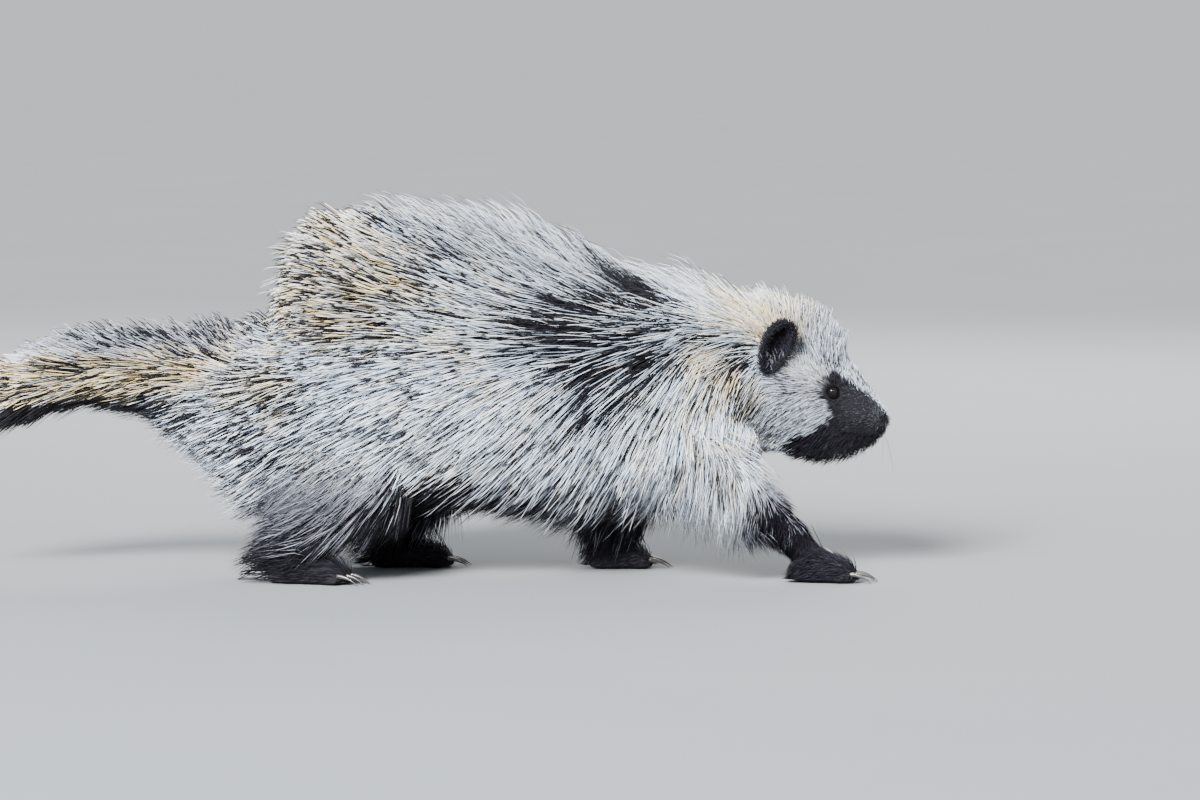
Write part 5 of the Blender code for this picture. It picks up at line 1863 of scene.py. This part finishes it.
@dataclass
class Ear:
    """A rounded cup of thin skin, dark inside and out, with short fuzz."""

    side: int
    x: float = 0.341
    z: float = 0.2165
    out: float = 0.0655
    half: tuple[float, float, float] = (0.0150, 0.0115, 0.0275)
    wall: float = 0.0016
    depth: float = 0.80
    mouth: float = 0.30
    turn: float = 26.0
    lean: float = 20.0
    forward: float = 12.0
    room: tuple[float, float, float] = (0.66, 1.2, 0.84)
    room_ahead: float = 0.004
    marks: tuple[float, float, float] = (1.0, 0.0, 0.3)
    fuzz: int = 4200
    fuzz_length: tuple[float, float] = (0.0040, 0.0085)
    fuzz_pitch: tuple[float, float] = (25.0, 65.0)
    fuzz_width: float = 0.00058
    pale_width: float = 0.00042
    pale_longer: float = 0.007
    pale_below: float = 0.008
    pale_share: float = 0.09

    def place(self) -> Matrix:
        """From the ear's own frame, its cup opening along Y, to its place on the head."""
        turn = Matrix.Rotation(math.radians(self.forward), 4, "Y")
        turn = turn @ Matrix.Rotation(math.radians(-self.turn), 4, "Z")
        turn = turn @ Matrix.Rotation(math.radians(-self.lean), 4, "X")
        mirror = Matrix.Diagonal((1.0, self.side, 1.0, 1.0))
        return mirror @ Matrix.Translation((self.x, self.out, self.z)) @ turn

    def hollow(self) -> Hollow:
        """The room in and before the ear's cup."""
        half = tuple(size * share for size, share in zip(self.half, self.room))
        return Hollow.round(self.place() @ Matrix.Translation((0.0, self.room_ahead, 0.0)), half)

    def cup(self) -> Object:
        """The cup with its rim rolled in and a fold at its front edge."""
        deselect_all()
        bpy.ops.mesh.primitive_uv_sphere_add(segments=40, ring_count=28, radius=1.0)
        obj = bpy.context.active_object
        obj.name = f"ear_cup_{SIDE_NAME[self.side]}"
        bm = bmesh.new()
        bm.from_mesh(obj.data)
        bmesh.ops.delete(bm, geom=[v for v in bm.verts if v.co.y > self.mouth], context="VERTS")
        wide, deep, tall = self.half
        for vert in bm.verts:
            lip = max(0.0, vert.co.y - self.mouth + 0.35)
            vert.co.x *= (1.0 - 0.10 * lip) * (1.0 + 0.20 * vert.co.z)
            vert.co.y -= 0.25 * max(0.0, vert.co.x - 0.2) * max(0.0, 0.5 - vert.co.z)
            vert.co = Vector((vert.co.x * wide, vert.co.y * deep * self.depth, vert.co.z * tall))
        bm.to_mesh(obj.data)
        bm.free()
        wall = obj.modifiers.new("wall", "SOLIDIFY")
        wall.thickness = self.wall
        wall.offset = -1.0
        round_off = obj.modifiers.new("round", "SUBSURF")
        round_off.levels = 1
        round_off.render_levels = 1
        apply_modifiers(obj)
        obj.matrix_world = self.place()
        settle(obj)
        bm = bmesh.new()
        bm.from_mesh(obj.data)
        bmesh.ops.recalc_face_normals(bm, faces=bm.faces)
        bm.to_mesh(obj.data)
        bm.free()
        obj.data.shade_smooth()
        give_attribute(obj, "marks", np.tile(self.marks, (len(obj.data.vertices), 1)))
        return hand_over(obj, SKIN_FINISH, Slot.DARK_FUR, f"ear_{SIDE_NAME[self.side]}")

    def hair(self, cup: Object) -> Object:
        """Short dark fuzz over the cup, with some longer pale hairs low on it."""
        draw = np.random.default_rng(200 + self.side)
        hide = Hide(cup)
        roots, normals = hide.scatter(self.fuzz, np.ones(len(hide.areas)), draw)
        upward = unit(np.array(self.place())[:3, 2] * 0.7 - FORWARD * 0.5)
        length = draw.uniform(*self.fuzz_length, self.fuzz)
        pale = (roots[:, 2] < self.z - self.pale_below) & (draw.random(self.fuzz) < self.pale_share)
        length = np.where(pale, length + self.pale_longer, length)
        black = np.where(pale, 0.50, draw.uniform(0.95, 1.0, self.fuzz))
        marks = np.stack((black, np.zeros(self.fuzz), np.full(self.fuzz, 0.5)), axis=-1)
        pitch = np.radians(draw.uniform(*self.fuzz_pitch, self.fuzz))
        width = np.where(pale, self.pale_width, self.fuzz_width)
        tone, tip = draw.random(self.fuzz), np.full(self.fuzz, NO_TIP)
        lie = along_skin(upward, normals)
        tufts = Tufts(FUR, roots, normals, lie, length, pitch, width, tone, tip, marks)
        return hand_over(tufts.build(f"ear_fuzz_{SIDE_NAME[self.side]}"), FUR_FINISH, Slot.DARK_FUR)

    def build(self) -> None:
        """The cup and its fuzz."""
        self.hair(self.cup())


@dataclass
class Claws:
    """The claws of one foot: long, curved, and narrower than tall."""

    limb: Limb
    start: float = 0.0115
    length: float = 0.0205
    radius: float = 0.0023
    taper: float = 0.90
    flatness: float = 0.72
    rise: float = 0.0042
    steps: int = 12
    sides: int = 14

    def one(self, index: int) -> tuple[Array, list[Array]]:
        """The closed loft of one claw."""
        s = np.linspace(0.0, 1.0, self.steps)
        radius = self.radius * (1.0 - self.taper * s**1.3)
        height = self.rise * (1.0 - s * s) + (SOLE_LEVEL + radius - self.limb.toe_z) * s * s
        centres = np.stack((self.start + self.length * s, np.zeros_like(s), height), axis=-1)
        rings = ovals(centres, ACROSS, UPWARD, radius * self.flatness, radius, radius, self.sides)
        return close_loft(moved(rings, self.limb.toe_frame(index)))

    def build(self) -> Object:
        """All the claws of the foot as one piece."""
        name = f"claws_{self.limb.name}_{SIDE_NAME[self.limb.side]}"
        return hand_over(loft_object(name, [self.one(k) for k in range(self.limb.toes)]), HORN, Slot.CLAW)


@dataclass
class Whiskers:
    """The long stiff hairs of the muzzle."""

    count: int = 44
    seed: int = 301
    # Where the pad lies on each side, and how far it reaches fore and aft and up and down.
    pad_x: float = 0.424
    pad_z: float = 0.142
    pad_long: float = 0.010
    pad_high: float = 0.008
    pad_side: tuple[float, float] = (0.012, 0.020)
    sweep: tuple[float, float, float] = (-0.55, 0.0, -0.42)
    stray: float = 0.16
    length: tuple[float, float] = (0.020, 0.048)
    pitch: tuple[float, float] = (16.0, 32.0)
    width: float = 0.00034

    def build(self, hide: Hide) -> Object:
        """The whiskers of both sides as one piece."""
        draw = np.random.default_rng(self.seed)
        x, y, z = hide.middles.T
        pad = bell(x - self.pad_x, self.pad_long) * bell(z - self.pad_z, self.pad_high)
        pad *= ease(np.abs(y), *self.pad_side)
        roots, normals = hide.scatter(self.count, pad + 1e-9, draw)
        ways = unit(np.array(self.sweep) + draw.normal(size=(self.count, 3)) * self.stray)
        length = draw.uniform(*self.length, self.count)
        pitch = np.radians(draw.uniform(*self.pitch, self.count))
        marks = np.tile((1.0, 0.0, 0.0), (self.count, 1))
        width, tip = np.full(self.count, self.width), np.full(self.count, NO_TIP)
        lie, tone = along_skin(ways, normals), draw.random(self.count)
        tufts = Tufts(GUARD, roots, normals, lie, length, pitch, width, tone, tip, marks)
        return hand_over(tufts.build("whiskers"), FUR_FINISH, Slot.DARK_FUR)


@dataclass
class Studio:
    """A pale floor, soft light and the camera at the photo's own framing."""

    frame_width: float = 1.116
    centre: tuple[float, float, float] = (0.1776, -0.020, 0.1655)
    elevation: float = 4.0
    lens: float = 200.0
    sensor: float = 36.0
    floor_size: float = 400.0
    sun_place: tuple[float, float, float] = (-1.2, -3.4, 1.9)
    sun_strength: float = 14.6
    sun_softness: float = 17.0
    sun_tint: Colour = (0.97, 0.98, 1.0)
    aim_at: tuple[float, float, float] = (0.0, 0.0, 0.15)
    # Name, place, size, power and tint of the soft lights.
    lights: tuple[tuple, ...] = (
        ("softbox", (-1.2, -2.6, 2.0), 1.0, 110.0, (0.62, 0.80, 1.0)),
        ("fill", (2.6, -2.6, 1.4), 1.6, 40.0, (0.97, 0.98, 1.0)),
        ("back", (0.6, 3.0, 2.2), 2.0, 130.0, (1.0, 0.98, 0.95)),
    )
    sky: Colour = (0.74, 0.87, 1.0)
    sky_strength: float = 0.68
    floor_albedo: float = 0.275

    def floor(self) -> None:
        """The floor, which isn't part of the animal."""
        deselect_all()
        bpy.ops.mesh.primitive_plane_add(size=self.floor_size)
        obj = bpy.context.active_object
        obj.name = "floor"
        obj.data.materials.append(FLOOR.material())

    def light(
        self, name: str, place: tuple[float, float, float], size: float, power: float, tint: Colour
    ) -> None:
        """A soft square light that faces the animal."""
        made = bpy.data.lights.new(name, "AREA")
        made.size = size
        made.energy = power
        made.color = tint
        self.aim(made, place)

    def sun(self) -> None:
        """The main light: even over the whole floor, with soft shadows."""
        made = bpy.data.lights.new("key", "SUN")
        made.energy = self.sun_strength
        made.angle = math.radians(self.sun_softness)
        made.color = self.sun_tint
        self.aim(made, self.sun_place)

    def aim(self, light: bpy.types.Light, place: tuple[float, float, float]) -> None:
        """Hangs a light at a place and turns it to the animal."""
        obj = bpy.data.objects.new(light.name, light)
        obj.location = place
        way = Vector(self.aim_at) - Vector(place)
        obj.rotation_euler = way.to_track_quat("-Z", "Y").to_euler()
        bpy.context.scene.collection.objects.link(obj)

    def camera(self) -> None:
        """The camera, level with the photo's and as far off as its long lens says."""
        made = bpy.data.cameras.new("camera")
        made.lens = self.lens
        made.sensor_width = self.sensor
        obj = bpy.data.objects.new("camera", made)
        distance = self.frame_width * self.lens / self.sensor
        angle = math.radians(self.elevation)
        away = Vector((0.0, -math.cos(angle), math.sin(angle)))
        obj.location = Vector(self.centre) + away * distance
        obj.rotation_euler = (-away).to_track_quat("-Z", "Y").to_euler()
        bpy.context.scene.collection.objects.link(obj)
        bpy.context.scene.camera = obj

    def world(self) -> None:
        """An even, faintly cool sky, which the camera sees in the floor's own tone."""
        made = bpy.data.worlds.new("studio")
        made.use_nodes = True
        tree = made.node_tree
        sky = tree.nodes["Background"]
        sky.inputs["Color"].default_value = rgba(self.sky)
        sky.inputs["Strength"].default_value = self.sky_strength
        slope = self.sun_place[2] / math.dist(self.sun_place, (0.0, 0.0, 0.0))
        lit = self.floor_albedo * self.sun_strength * slope / math.pi
        backdrop = tuple(lit + self.floor_albedo * self.sky_strength * channel for channel in self.sky)
        behind = put(tree, "ShaderNodeBackground", Color=rgba(backdrop), Strength=1.0)
        seen = put(tree, "ShaderNodeLightPath").outputs["Is Camera Ray"]
        both = put(tree, "ShaderNodeMixShader", i0=seen, i1=sky.outputs[0], i2=behind.outputs[0])
        tree.links.new(both.outputs[0], tree.nodes["World Output"].inputs["Surface"])
        bpy.context.scene.world = made

    def build(self) -> None:
        """Everything round the animal."""
        self.floor()
        self.sun()
        for light in self.lights:
            self.light(*light)
        self.camera()
        self.world()


def main() -> None:
    """Builds the whole animal and its studio."""
    logging.basicConfig(level=logging.INFO, format="%(name)s: %(message)s")
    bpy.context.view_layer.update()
    skin = SkinPiece().build()
    hide = Hide(skin)
    eyes = [Eye(side) for side in (RIGHT, LEFT)]
    ears = [Ear(side) for side in (RIGHT, LEFT)]
    hollows = [organ.hollow() for organ in (*eyes, *ears)]
    for growth in GROWTHS:
        growth.build(hide, hollows)
    for organ in (*eyes, *ears):
        organ.build()
    for limb in LIMBS:
        Claws(limb).build()
    Whiskers().build(hide)
    Studio().build()


if __name__ == "__main__":
    main()
